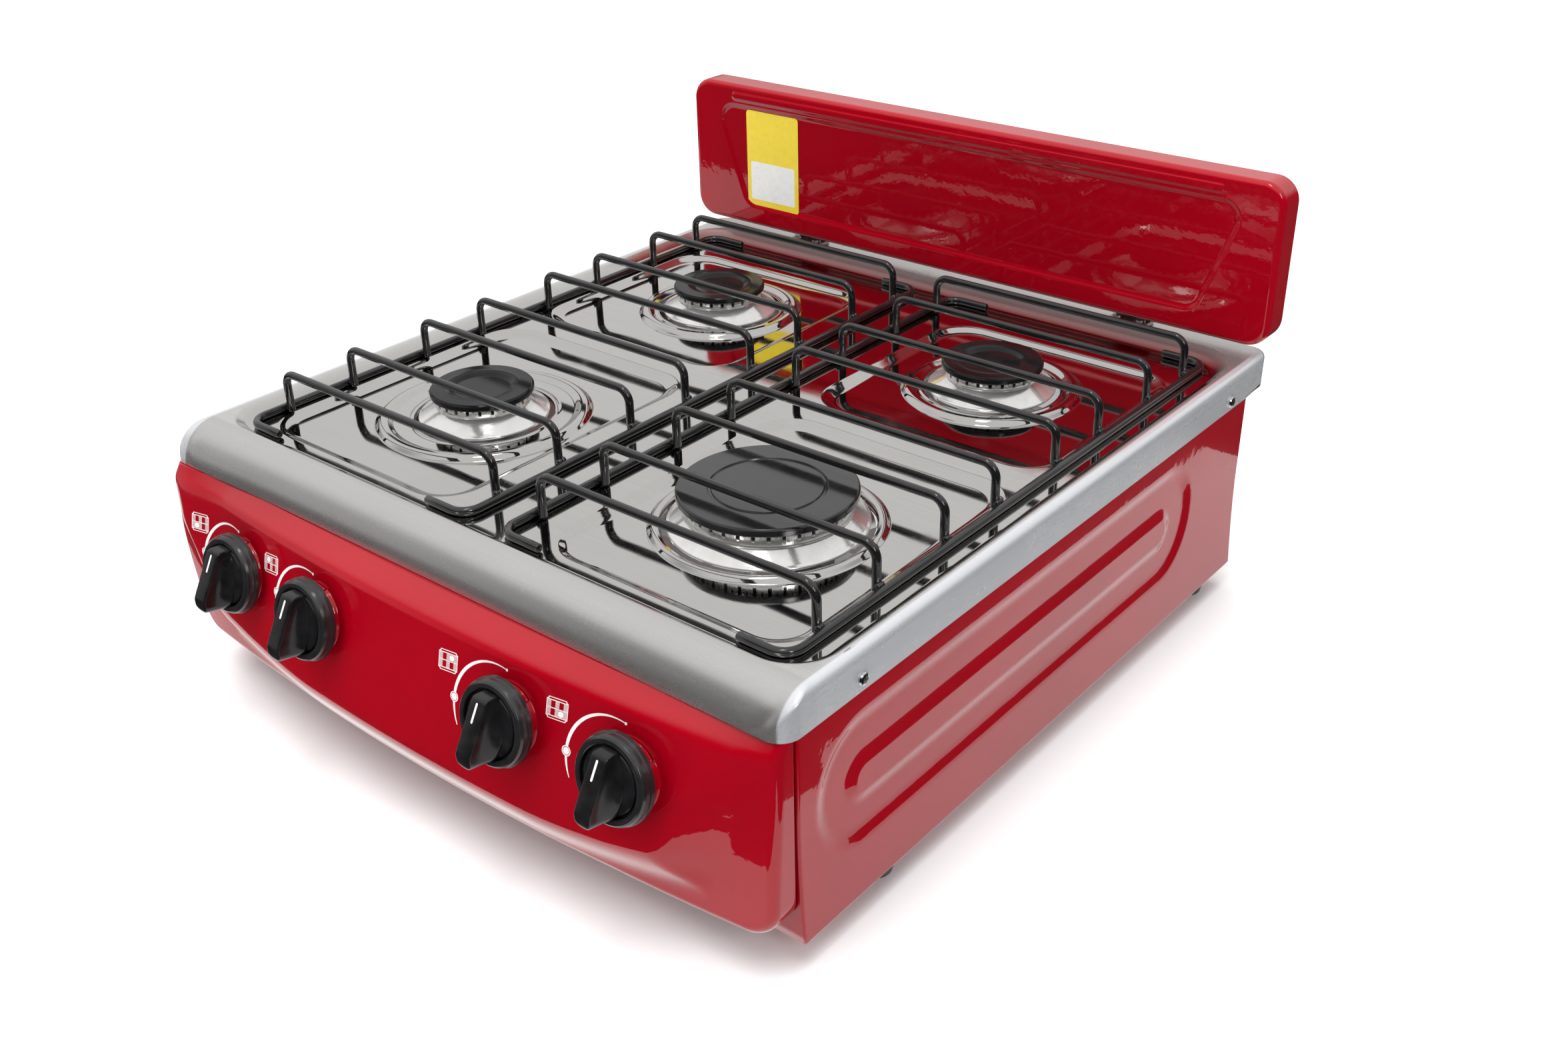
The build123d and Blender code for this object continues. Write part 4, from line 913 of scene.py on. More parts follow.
def make_control_panel():
    s = Skin()
    # raised collars behind the knobs
    holes = []
    ang = np.arange(96) * 2 * math.pi / 96
    for xk in KNOBS.values():
        rot, org = knob_space(xk)
        rows = []
        prof = [(23.6, None), (22.4, None), (21.7, 0.05), (21.1, 0.35), (20.7, 1.1), (20.5, 2.2), (20.2, 2.9), (19.6, 3.25), (18.8, 3.3), (16.0, 3.3), (12.0, 3.3), (9.0, 3.3), (7.2, 3.3), (7.0, 3.1)]
        pts = []
        for r, w in prof:
            u, v = r * np.cos(ang), r * np.sin(ang)
            x = xk + u
            base = (org[1] + 266.7 + 0.2309 * (108.5 - org[2]) - 16.0 * (x / 250.0) ** 2) / 1.0263
            if w is None:
                ww = base
            else:
                f = w / 3.3
                ww = base * (1 - f) + w * f if r > 20.3 else np.full(len(u), w)
            q = np.stack([u, v, ww], 1) @ rot.T + org
            pts.append(np.column_stack([q[:, 0], q[:, 2], -q[:, 1]]))
        g = np.array(pts)
        du = np.roll(g, -1, 1) - np.roll(g, 1, 1)
        dv = np.gradient(g, axis=0)
        no = np.cross(du, dv)
        no[no[:, :, 2] < 0] *= -1
        for k, (r, w) in enumerate(prof):
            if w is None:
                c, m = on_field(g[k][:, :2])
                g[k] = c
                no[k] = m
            if 9 <= k <= 12:
                no[k] = [0, math.sin(TILT), math.cos(TILT)]
        rows = [s.add(a, b) for a, b in zip(g, no)]
        s.band(rows)
        holes.append(rows[0])
    # outline: inset by the rounding of the edges, open along the top
    inset = 6.0
    xe = 252.5 - inset
    loop = poly_loop([(xe, 35.0), (xe, 149.6), (-xe, 149.6), (-xe, 35.0)], [12.0, 0.01, 0.01, 12.0], 10, [44, 110, 44, 130])
    keep = [0]
    for i in range(1, len(loop)):
        if np.linalg.norm(loop[i] - loop[keep[-1]]) > 0.2:
            keep.append(i)
    loop = loop[keep]
    c, m = on_field(loop)
    edge = s.add(c, m)
    s.fill(edge, holes, 3.6, on_field, gap=0.5)
    # wrap round the sides and the bottom, back to the flange behind
    top = loop[:, 1] > 149.5
    n = len(loop)
    start = [i for i in range(n) if top[i] and not top[(i + 1) % n]][0]
    seq = [start]
    while True:
        j = (seq[-1] + 1) % n
        seq.append(j)
        if top[j]:
            break
    seq = np.array(seq)
    p = loop[seq]
    t = np.gradient(p, axis=0)
    t /= np.linalg.norm(t, axis=1)[:, None]
    outw = np.stack([t[:, 1], -t[:, 0]], 1)
    if (outw[len(outw) // 2] @ np.array([0, -1])) < 0:
        outw = -outw
    outw[0] = [np.sign(p[0, 0]), 0]
    outw[-1] = [np.sign(p[-1, 0]), 0]
    y0 = field_at(p, 3)
    gx, gz = field_at(p, 4), field_at(p, 5)
    slope = gx * outw[:, 0] + gz * outw[:, 1]
    rows = [edge[seq]]
    th = np.radians([12, 24, 36, 48, 60, 72, 82, 90])
    deep = np.clip(-230.9 - y0, 1.0, inset)
    for a in th:
        q = p + outw * inset * math.sin(a)
        y = y0 + slope * deep * math.sin(a) * math.cos(a) + deep * (1 - math.cos(a))
        k = math.sin(a)
        nn = np.stack([outw[:, 0] * k, outw[:, 1] * k, np.full(len(p), math.cos(a))], 1)
        nn = nn + np.stack([gx, gz, np.zeros(len(p))], 1) * (1 - k)
        rows.append(s.add(np.column_stack([q, -y]), nn))
    for f in (0.5, 1.0):
        q = p + outw * inset
        y = (y0 + deep) * (1 - f) + -229.6 * f
        rows.append(s.add(np.column_stack([q, -y]), np.column_stack([outw, np.zeros(len(p))])))
    for a in np.radians([30, 60, 90]):
        q = p + outw * (inset - 1.2 * (1 - math.cos(a)))
        y = -229.6 + 1.2 * math.sin(a)
        rows.append(s.add(np.column_stack([q, np.full(len(p), -y)]), np.column_stack([outw * math.cos(a), np.full(len(p), -math.sin(a))])))
    q = p + outw * (inset - 18.0)
    rows.append(s.add(np.column_stack([q, np.full(len(p), 228.4)]), (0, 0, -1.0)))
    s.band(rows, closed=False)
    # top flange, from the cap's rear edge back over the taps
    j = seq[-1]
    topseq = [j]
    while topseq[-1] != start:
        topseq.append((topseq[-1] + 1) % n)
    topseq = np.array(topseq)
    front = np.concatenate([[rows[k][-1] for k in range(9, 0, -1)], edge[topseq], [rows[k][0] for k in range(1, 10)]])
    co, _ = s.arrays()
    fr = co[front]
    back = s.add(np.column_stack([fr[:, 0], np.full(len(fr), 149.6), np.full(len(fr), 229.6)]), (0, 1.0, 0))
    front2 = s.add(fr, (0, 1.0, 0.0))
    for i in range(len(front2) - 1):
        if np.linalg.norm(co[front[i]] - co[front[i + 1]]) > 1e-6:
            s.faces.append((front2[i], front2[i + 1], back[i + 1], back[i]))
    co, no = s.arrays()
    # local u, v, h to x, y, z
    co3 = np.stack([co[:, 0], -co[:, 2], co[:, 1]], 1)
    no3 = np.stack([no[:, 0], -no[:, 2], no[:, 1]], 1)
    co3, no3 = stretch(co3, no3)
    co3, faces, nl = thick(co3, no3, s.faces, 0.8)
    piece("control_panel_sheet", co3, faces, nl, nodes=["control_panel"], mats=[RED])


# ------------------------------------------------------------------ side panels
def make_side(sx, node):
    s = Skin()
    out = (0, 0, 1.0)
    y0, y1, z0, z1 = -227.6, 273.0, 17.0, 168.0
    x = 254.0
    runs = (110, 26)

    def press1(d):
        return rect_loop(-205, 192, 60, 128, 33 + d, 16, (70, 3), d)

    def rib(d):
        return rect_loop(-179, 165, 83, 101, 8.8 + d, 10, (70, 2), d)

    prof = soft_profile([(-3.0, x - 2.2), (0, x - 2.2), (8.0, x), (10.5, x)], [2.8, 2.2], 5)
    a = s.press(press1, *prof)
    prof = soft_profile([(-1.6, x - 0.25), (0, x - 0.25), (7.2, x - 2.2), (9.8, x - 2.2)], [1.5, 2.4], 5)
    b = s.press(rib, *prof)
    s.fill(b[0], [], 7.0, lambda p: (np.column_stack([p, np.full(len(p), x - 0.25)]), out))
    s.fill(a[0], [b[-1]], 7.0, lambda p: (np.column_stack([p, np.full(len(p), x - 2.2)]), out))
    r = 1.6
    loop = rect_loop(y0 + r, y1 - r, z0 + r, z1 - r, 0.02, 3, (90, 30))
    keep = [0]
    for i in range(1, len(loop)):
        if np.linalg.norm(loop[i] - loop[keep[-1]]) > 0.2:
            keep.append(i)
    if np.linalg.norm(loop[keep[-1]] - loop[0]) < 0.2:
        keep = keep[:-1]
    loop = loop[keep]
    cen = loop.mean(0)
    near = lambda v, w: np.abs(v - w) < 0.3
    ou = np.stack([np.where(near(loop[:, 0], y1 - r), 1.0, np.where(near(loop[:, 0], y0 + r), -1.0, 0.0)),
                   np.where(near(loop[:, 1], z1 - r), 1.0, np.where(near(loop[:, 1], z0 + r), -1.0, 0.0))], 1)
    l = np.linalg.norm(ou, axis=1)[:, None]
    unit = ou / l
    inner = rect_loop(y0 + r + 1.2, y1 - r - 1.2, z0 + r + 1.2, z1 - r - 1.2, 0.02, 3, (90, 30))[keep]
    rows = [s.add(np.column_stack([inner, np.full(len(loop), x)]), out), s.add(np.column_stack([loop, np.full(len(loop), x)]), out)]
    for t in np.radians([22.5, 45, 67.5, 90]):
        q = loop + unit * r * math.sin(t)
        rows.append(s.add(np.column_stack([q, np.full(len(q), x - r * (1 - math.cos(t)))]), np.column_stack([unit * math.sin(t), np.full(len(q), math.cos(t))])))
    for d in (12.0, 30.0):
        q = loop + unit * r
        rows.append(s.add(np.column_stack([q, np.full(len(q), x - d)]), np.column_stack([unit, np.zeros(len(q))])))
    s.band(rows)
    s.fill(rows[0], [a[-1]], 9.0, lambda p: (np.column_stack([p, np.full(len(p), x)]), out))
    co, no = s.arrays()
    # the sheet's own slow waves
    q = co.copy()
    flat = (no[:, 2] > 0.4)
    hh = 0.16 * np.sin(q[:, 0] / 88 + 0.6) * np.sin(q[:, 1] / 47 + 0.4) + 0.07 * np.sin(q[:, 0] / 37 + q[:, 1] / 29)
    edge = np.clip((q[:, 1] - z0) / 14, 0, 1) * np.clip((z1 - 27 - q[:, 1]) / 14, 0, 1) * np.clip((q[:, 0] - y0) / 14, 0, 1) * np.clip((y1 - q[:, 0]) / 14, 0, 1)
    gu = 0.16 / 88 * np.cos(q[:, 0] / 88 + 0.6) * np.sin(q[:, 1] / 47 + 0.4) + 0.07 / 37 * np.cos(q[:, 0] / 37 + q[:, 1] / 29)
    gv = 0.16 / 47 * np.sin(q[:, 0] / 88 + 0.6) * np.cos(q[:, 1] / 47 + 0.4) + 0.07 / 29 * np.cos(q[:, 0] / 37 + q[:, 1] / 29)
    amt = edge * flat
    co[:, 2] -= amt * (0.25 + hh)
    f = np.clip((92 - q[:, 1]) / 75, 0, 1)
    co[:, 2] += 3.2 * f ** 1.7
    no = no + np.stack([np.zeros(len(co)), 3.2 * 1.7 * f ** 0.7 / 75 * no[:, 2], np.zeros(len(co))], 1)
    no = no + np.stack([gu * amt, gv * amt, np.zeros(len(co))], 1)
    no /= np.linalg.norm(no, axis=1)[:, None]
    co3 = np.stack([sx * co[:, 2], co[:, 0], co[:, 1]], 1)
    no3 = np.stack([sx * no[:, 2], no[:, 0], no[:, 1]], 1)
    co3, faces, nl = thick(co3, no3, s.faces, 0.8)
    piece(node + "_sheet", co3, faces, nl, nodes=[node], mats=[RED])


# ------------------------------------------------------------------ backsplash
def make_backsplash():
    s = Skin()
    out = (0, 0, 1.0)
    x1, z0, z1 = 260.4, 183.0, 299.0
    yf, yb = -278.6, -302.0      # h is -y

    def outer(d):
        return rect_loop(-x1, x1, z0, z1, 17.0 + d, 14, (110, 24), d)

    rows = []
    r = 4.5
    for t in np.radians([0, 12, 24, 36, 48, 60, 72, 84, 90]):
        d = -r + r * math.sin(t)
        p = outer(d)
        tt = np.roll(p, -1, 0) - np.roll(p, 1, 0)
        o = np.stack([tt[:, 1], -tt[:, 0]], 1)
        o /= np.linalg.norm(o, axis=1)[:, None]
        rows.append(s.add(np.column_stack([p, np.full(len(p), yf - r * (1 - math.cos(t)))]), np.column_stack([o * math.sin(t), np.full(len(p), math.cos(t))])))
    p = outer(0)
    tt = np.roll(p, -1, 0) - np.roll(p, 1, 0)
    o = np.stack([tt[:, 1], -tt[:, 0]], 1)
    o /= np.linalg.norm(o, axis=1)[:, None]
    for h in (-292.0, yb + 1.3):
        rows.append(s.add(np.column_stack([p, np.full(len(p), h)]), np.column_stack([o, np.zeros(len(p))])))
    for t in np.radians([30, 60, 90]):
        q = outer(-1.2 * (1 - math.cos(t)))
        rows.append(s.add(np.column_stack([q, np.full(len(q), yb + 1.3 - 1.2 * math.sin(t))]), np.column_stack([o * math.cos(t), np.full(len(q), -math.sin(t))])))
    q = rect_loop(-x1 + 16, x1 - 16, z0 + 16, z1 - 16, 8.0, 14, (110, 24))
    rows.append(s.add(np.column_stack([q, np.full(len(q), yb + 0.1)]), (0, 0, -1.0)))
    s.band(rows)
    def trap(d):
        return poly_loop([(205, 199), (237, 283), (-237, 283), (-205, 199)], [14 + d] * 4, 10, [26, 100, 26, 90], d)

    prof = soft_profile([(-5.0, yf - 1.5), (-2.8, yf - 1.5), (0.3, yf), (1.3, yf)], [1.5, 0.9], 5)
    a = s.press(trap, *prof)

    def bead(d):
        return rect_loop(-218, 218, 286, 293, 3.4 + d, 8, (90, 1), d)

    prof = soft_profile([(-2.4, yf + 1.0), (-1.5, yf + 1.0), (0.3, yf), (1.2, yf)], [0.7, 0.8], 4)
    b = s.press(bead, *prof)
    s.fill(b[0], [], 6.0, lambda p: (np.column_stack([p, np.full(len(p), yf + 1.0)]), out))
    s.fill(a[0], [], 9.0, lambda p: (np.column_stack([p, np.full(len(p), yf - 1.5)]), out))
    s.fill(rows[0], [a[-1], b[-1]], 9.0, lambda p: (np.column_stack([p, np.full(len(p), yf)]), out))
    co, no = s.arrays()
    co = co.copy()
    flat = (no[:, 2] > 0.7) & (co[:, 2] > -284)
    u, v = co[:, 0], co[:, 1]
    amt = flat * np.clip((x1 - np.abs(u)) / 20, 0, 1) * np.clip((v - z0) / 20, 0, 1) * np.clip((z1 - v) / 20, 0, 1)
    hh = 0.10 * np.sin(u / 97 + 0.3) * np.sin(v / 39) + 0.05 * np.sin(u / 43 - v / 31)
    gu = 0.10 / 97 * np.cos(u / 97 + 0.3) * np.sin(v / 39) + 0.05 / 43 * np.cos(u / 43 - v / 31)
    gv = 0.10 / 39 * np.sin(u / 97 + 0.3) * np.cos(v / 39) - 0.05 / 31 * np.cos(u / 43 - v / 31)
    co[:, 2] += amt * (hh - 0.15)
    no = no - np.stack([gu * amt, gv * amt, np.zeros(len(co))], 1)
    no /= np.linalg.norm(no, axis=1)[:, None]
    co3 = np.stack([co[:, 0], -co[:, 2], co[:, 1]], 1)
    no3 = np.stack([no[:, 0], -no[:, 2], no[:, 1]], 1)
    co3, faces, nl = thick(co3, no3, s.faces, 0.8)
    piece("backsplash_sheet", co3, faces, nl, nodes=["backsplash"], mats=[RED])


# ------------------------------------------------------------------ grates
def wire_path(points, radius, step=3.0, arc=9):
    """polyline with round corners as points and tangents"""
    p = [np.array(q, float) for q in points]
    out = [p[0]]
    for k in range(1, len(p) - 1):
        a, b, c = p[k - 1], p[k], p[k + 1]
        u, v = (b - a) / np.linalg.norm(b - a), (c - b) / np.linalg.norm(c - b)
        turn = math.acos(max(-1, min(1, u @ v)))
        q = radius * math.tan(turn / 2)
        start, end = b - u * q, b + v * q
        m = v - u
        m /= np.linalg.norm(m)
        centre = b + m * (radius / math.cos(turn / 2))
        e1 = (start - centre) / radius
        for j in range(arc + 1):
            f = turn * j / arc
            out.append(centre + radius * (math.cos(f) * e1 + math.sin(f) * u))
    out.append(p[-1])
    dense = [out[0]]
    for a, b in zip(out, out[1:]):
        l = np.linalg.norm(b - a)
        k = max(1, int(round(l / 14.0)))
        dense += [a + (b - a) * j / k for j in range(1, k + 1)]
    return np.array(dense)


def tube(path, r, side, n=18, round_end=0.8):
    """round wire along a flat path; side is the normal of its plane"""
    t = np.gradient(path, axis=0)
    t[0], t[-1] = path[1] - path[0], path[-1] - path[-2]
    t /= np.linalg.norm(t, axis=1)[:, None]
    side = np.array(side, float)
    a = np.cross(side, t)
    ang = np.arange(n) * 2 * math.pi / n
    rows = []
    ends = [(0, -1), (len(path) - 1, 1)]

    def ring(c, aa, rr):
        return c + rr * (np.cos(ang)[:, None] * side + np.sin(ang)[:, None] * aa)
    rings = []
    for f in (0.0, 0.35, 0.7):
        rings.append(ring(path[0] - t[0] * 0 + t[0] * round_end * (1 - math.sin(math.acos(1 - f))) * 0 + t[0] * (round_end * (1 - f) ** 2), a[0], r - round_end * (1 - f) ** 2 * 0.9))
    rings = [ring(path[0], a[0], r - 0.8), ring(path[0] + t[0] * 0.25, a[0], r - 0.28), ring(path[0] + t[0] * 0.8, a[0], r)]
    for i in range(1, len(path) - 1):
        rings.append(ring(path[i], a[i], r))
    rings += [ring(path[-1] - t[-1] * 0.8, a[-1], r), ring(path[-1] - t[-1] * 0.25, a[-1], r - 0.28), ring(path[-1], a[-1], r - 0.8)]
    g = np.array(rings)
    co = g.reshape(-1, 3)
    m = len(g)
    faces = []
    for i in range(m - 1):
        for j in range(n):
            k = (j + 1) % n
            faces.append((i * n + j, i * n + k, (i + 1) * n + k, (i + 1) * n + j))
    faces.append(tuple(range(n))[::-1])
    faces.append(tuple((m - 1) * n + j for j in range(n)))
    # outward winding
    c0 = g[1].mean(0)
    f = faces[n]
    gn = np.cross(co[f[1]] - co[f[0]], co[f[2]] - co[f[0]])
    if gn @ (co[f[0]] - g[1].mean(0)) < 0:
        faces = [q[::-1] for q in faces]
    return co, faces


def blob(centre, radii, rng, n=3):
    """weld bead: a small uneven lump"""
    import bmesh
    bm = bmesh.new()
    bmesh.ops.create_icosphere(bm, subdivisions=n, radius=1.0)
    co = np.array([v.co for v in bm.verts])
    faces = [tuple(v.index for v in f.verts) for f in bm.faces]
    bm.free()
    ph = rng.uniform(0, 6.28, 6)
    k = 1 + 0.07 * np.sin(3 * co[:, 0] + ph[0]) * np.sin(3 * co[:, 1] + ph[1]) + 0.05 * np.sin(5 * co[:, 2] + ph[2]) * np.cos(4 * co[:, 0] + ph[3])
    return co * k[:, None] * np.array(radii) + np.array(centre), faces


def union_of(parts, name):
    """exact union of closed shells, as one mesh"""
    obs = []
    for i, (co, faces) in enumerate(parts):
        me = bpy.data.meshes.new(f"{name}_{i}")
        me.from_pydata(np.asarray(co, float).tolist(), [], [tuple(int(v) for v in f) for f in faces])
        ob = bpy.data.objects.new(f"{name}_{i}", me)
        obs.append(ob)
    col = bpy.data.collections.new(name + "_operands")
    SCENE.collection.children.link(col)
    SCENE.collection.objects.link(obs[0])
    for ob in obs[1:]:
        col.objects.link(ob)
    mod = obs[0].modifiers.new("union", "BOOLEAN")
    mod.operation = "UNION"
    mod.operand_type = "COLLECTION"
    mod.collection = col
    mod.solver = "EXACT"
    bpy.context.view_layer.update()
    dg = bpy.context.evaluated_depsgraph_get()
    got = bpy.data.meshes.new_from_object(obs[0].evaluated_get(dg))
    co = np.array([v.co for v in got.vertices])
    faces = [tuple(p.vertices) for p in got.polygons]
    for ob in obs:
        me = ob.data
        bpy.data.objects.remove(ob)
        bpy.data.meshes.remove(me)
    bpy.data.collections.remove(col)
    bpy.data.meshes.remove(got)
    return co, faces


def make_grate(sx, node, seed):
    rng = np.random.default_rng(seed)
    rodz = 172.2
    bars = (-172.3, -120.8, -56.6, -4.3, 63.2, 115.6, 180.1, 232.3)
    shells = []
    for y in bars:
        jit = rng.uniform(-0.12, 0.12, 3)
        path = wire_path([(20.2, y, rodz - 1.5), (20.2, y, 198.2), (222.6, y, 198.2), (222.6, y, rodz - 1.5)], 9.0)
        path[:, 1] += jit[0] * np.sin((path[:, 0] - 20) / 202 * math.pi)
        path[:, 2] += -abs(jit[1]) * np.sin((path[:, 0] - 20) / 202 * math.pi)
        shells.append(tube(path, 2.75, (0, 1, 0)))
    for x, hook in ((15.2, 48.5), (227.6, 194.5)):
        path = wire_path([(hook, -201.5, rodz), (x, -201.5, rodz), (x, 258.5, rodz), (hook, 258.5, rodz)], 12.0)
        shells.append(tube(path, 2.75, (0, 0, 1)))
    for y in bars:
        for x, d in ((20.2, -1), (222.6, 1)):
            for k, (dy, rz) in enumerate(((rng.uniform(-1.5, -0.9), 0.1), (rng.uniform(0.9, 1.6), -0.1))):
                shells.append(blob((x + d * 2.2, y + dy, rodz + 2.3 + rng.uniform(-0.3, 0.4)), (2.3 + rng.uniform(-0.2, 0.3), 2.1 + rng.uniform(-0.2, 0.5), 1.9 + rng.uniform(-0.2, 0.5)), rng, 2))
    co, faces = union_of(shells, node)
    if sx < 0:
        co = co * [-1, 1, 1]
        faces = [f[::-1] for f in faces]
    piece(node + "_wires", co, faces, body=node, nodes=[node], mats=[BLACK], angle=50)


# ------------------------------------------------------------------ burners
def make_burner(name):
    x, y, large, ro = BURNERS[name]
    metal = make_burner_metal("burner_metal_" + name, x, y)
    crown, skirt, ct, cup, spig = (50.0, 59.9, 184.8, 30.0, 26.0) if large else (31.2, 43.6, 182.4, 24.0, 20.0)
    wall = crown - 5.0
    seat = 166.05
    # lower body: outline runs down outside, back up inside; right side is outside
    n = 144
    neck = 175.2
    pts = [(crown, neck), (skirt - 1.9, 169.1), (skirt - 0.2, 168.35), (skirt, 167.5), (skirt - 0.25, 166.75), (skirt - 1.2, 166.6), (skirt - 2.4, 167.3), (crown - 0.5, 172.4),
           (cup + 1.5, 172.4), (cup + 1.5, seat), (spig, seat), (spig, 156.5), (spig - 3, 156.5), (spig - 3, 176.0), (wall, 176.0)]
    rad = [0.0, 1.6, 0.5, 0.6, 0.5, 0.5, 0.8, 1.5, 0.6, 0.4, 0.3, 0.4, 0.4, 0.5, 0.0]
    p, nor = arc_profile(pts[::-1], rad[::-1], 4)
    p, nor = p[::-1], -nor[::-1]
    nor = -nor
    # crown: height of the rim over the angle
    count = 36 if large else 24
    lo_main, lo_mini = ct - 3.9, ct - 1.6
    th, hh = [], []
    for i in range(count):
        a = 2 * math.pi / count * i
        half = 1.15 / crown
        e = 0.22 / crown
        d = 0.03 / crown
        mini = a + math.pi / count
        mh = 0.5 / crown
        th += [a - half + d, a, a + half - d]
        hh += [lo_main, lo_main, lo_main]
        th += [a + half, a + half + e * 0.3, a + half + e]
        hh += [ct - 0.22, ct - 0.06, ct]
        th += [mini - mh - e, mini - mh - e * 0.3, mini - mh]
        hh += [ct, ct - 0.06, ct - 0.2]
        th += [mini - mh + d, mini, mini + mh - d]
        hh += [lo_mini] * 3
        th += [mini + mh, mini + mh + e * 0.3, mini + mh + e]
        hh += [ct - 0.2, ct - 0.06, ct]
        nx = a + 2 * math.pi / count
        th += [nx - half - e, nx - half - e * 0.3, nx - half]
        hh += [ct, ct - 0.06, ct - 0.22]
    th, hh = np.array(th), np.array(hh)
    m = len(th)
    cols = []
    # wall points (r, z) per angle, from inside bottom over the top to the outside, then the lower body
    b = 0.22
    inner = [(wall, 176.0)]
    rows = []
    rows.append(np.stack([np.full(m, wall), np.full(m, 176.0)], 1))
    rows.append(np.stack([np.full(m, wall), hh - b], 1))
    rows.append(np.stack([np.full(m, wall + b), hh], 1))
    rows.append(np.stack([np.full(m, crown - b), hh], 1))
    rows.append(np.stack([np.full(m, crown - b * 0.3), hh - b * 0.3], 1))
    rows.append(np.stack([np.full(m, crown), hh - b], 1))
    rows.append(np.stack([np.full(m, crown), np.full(m, 178.0)], 1))
    rows.append(np.stack([np.full(m, crown + 0.02), np.full(m, 176.4)], 1))
    rows.append(np.stack([np.full(m, crown + 0.35), np.full(m, 175.5)], 1))
    for q in p[1:-1]:
        rows.append(np.tile(q, (m, 1)))
    co = []
    for r in rows:
        co.append(np.stack([x + r[:, 0] * np.cos(th), y + r[:, 0] * np.sin(th), r[:, 1]], 1))
    g = np.concatenate(co)
    faces = []
    k = len(rows)
    for i in range(k):
        a0, b0 = i * m, ((i + 1) % k) * m
        for j in range(m):
            q = (j + 1) % m
            faces.append((a0 + j, b0 + j, b0 + q, a0 + q))
    # winding from one known face: the outer wall
    f = faces[6 * m]
    gn = np.cross(g[f[1]] - g[f[0]], g[f[2]] - g[f[0]])
    mid = g[list(f)].mean(0) - np.array([x, y, 0])
    if gn[:2] @ mid[:2] < 0:
        faces = [q[::-1] for q in faces]
    # small key under the skirt, which drops into the cup
    ka = math.radians(-118.0)
    c, s = math.cos(ka), math.sin(ka)
    kx = np.array([[skirt - 5.0, -2.2], [skirt - 0.5, -2.2], [skirt - 0.5, 2.2], [skirt - 5.0, 2.2]])
    kk = []
    for z, ins in ((165.0, 0.3), (165.3, 0.0), (167.6, 0.0)):
        for px, py in kx:
            sxx = np.sign(px - (skirt - 2.75))
            px2, py2 = px - sxx * ins, py - np.sign(py) * ins
            kk.append((x + px2 * c - py2 * s, y + px2 * s + py2 * c, z))
    kk = np.array(kk)
    kf = [(3, 2, 1, 0), (8, 9, 10, 11)]
    for i in range(2):
        for j in range(4):
            q = (j + 1) % 4
            kf.append((i * 4 + j, i * 4 + q, i * 4 + 4 + q, i * 4 + 4 + j))
    base = len(g)
    g = np.concatenate([g, kk])
    faces += [tuple(v + base for v in f) for f in kf]
    piece(f"burner_head_{name}_metal", g, faces, body="burner_head_" + name, nodes=["burner_head_" + name], mats=[metal], angle=28)

    cap_r, top = (53.6, 190.0) if large else (34.5, 187.3)
    low = ct + 0.05
    wl = wall - 0.6
    if large:
        prof = [(0, low + 1.0), (wl - 2.4, low + 1.0), (wl - 2.4, low - 3.0), (wl, low - 3.0), (wl, low), (cap_r - 0.8, low), (cap_r, low + 0.7), (cap_r, top - 1.2), (cap_r - 1.1, top),
                (cap_r * 0.655, top), (cap_r * 0.643, top - 0.95), (cap_r * 0.618, top - 0.95), (cap_r * 0.606, top - 0.06), (0, top - 0.06)]
        rad = [0, 0.5, 0.4, 0.4, 0.5, 0.6, 0.6, 1.1, 1.1, 0.45, 0.4, 0.4, 0.45, 0]
    else:
        prof = [(0, low + 0.9), (wl - 2.0, low + 0.9), (wl - 2.0, low - 3.0), (wl, low - 3.0), (wl, low), (cap_r - 0.8, low), (cap_r, low + 0.7), (cap_r, top - 1.5), (cap_r - 1.4, top - 0.25),
                (cap_r * 0.76, top - 0.15), (cap_r * 0.70, top + 0.0), (cap_r * 0.63, top - 0.7), (cap_r * 0.54, top - 2.3), (0, top - 2.4)]
        rad = [0, 0.5, 0.4, 0.4, 0.5, 0.6, 0.6, 1.3, 1.2, 2.0, 1.3, 1.2, 2.2, 0]
    co, faces, nl = lathe(prof, rad, (x, y), 128, 5)
    piece(f"burner_cap_{name}_enamel", co, faces, nl, body="burner_cap_" + name, nodes=["burner_cap_" + name], mats=[CAP_BIG if large else CAP_SMALL])


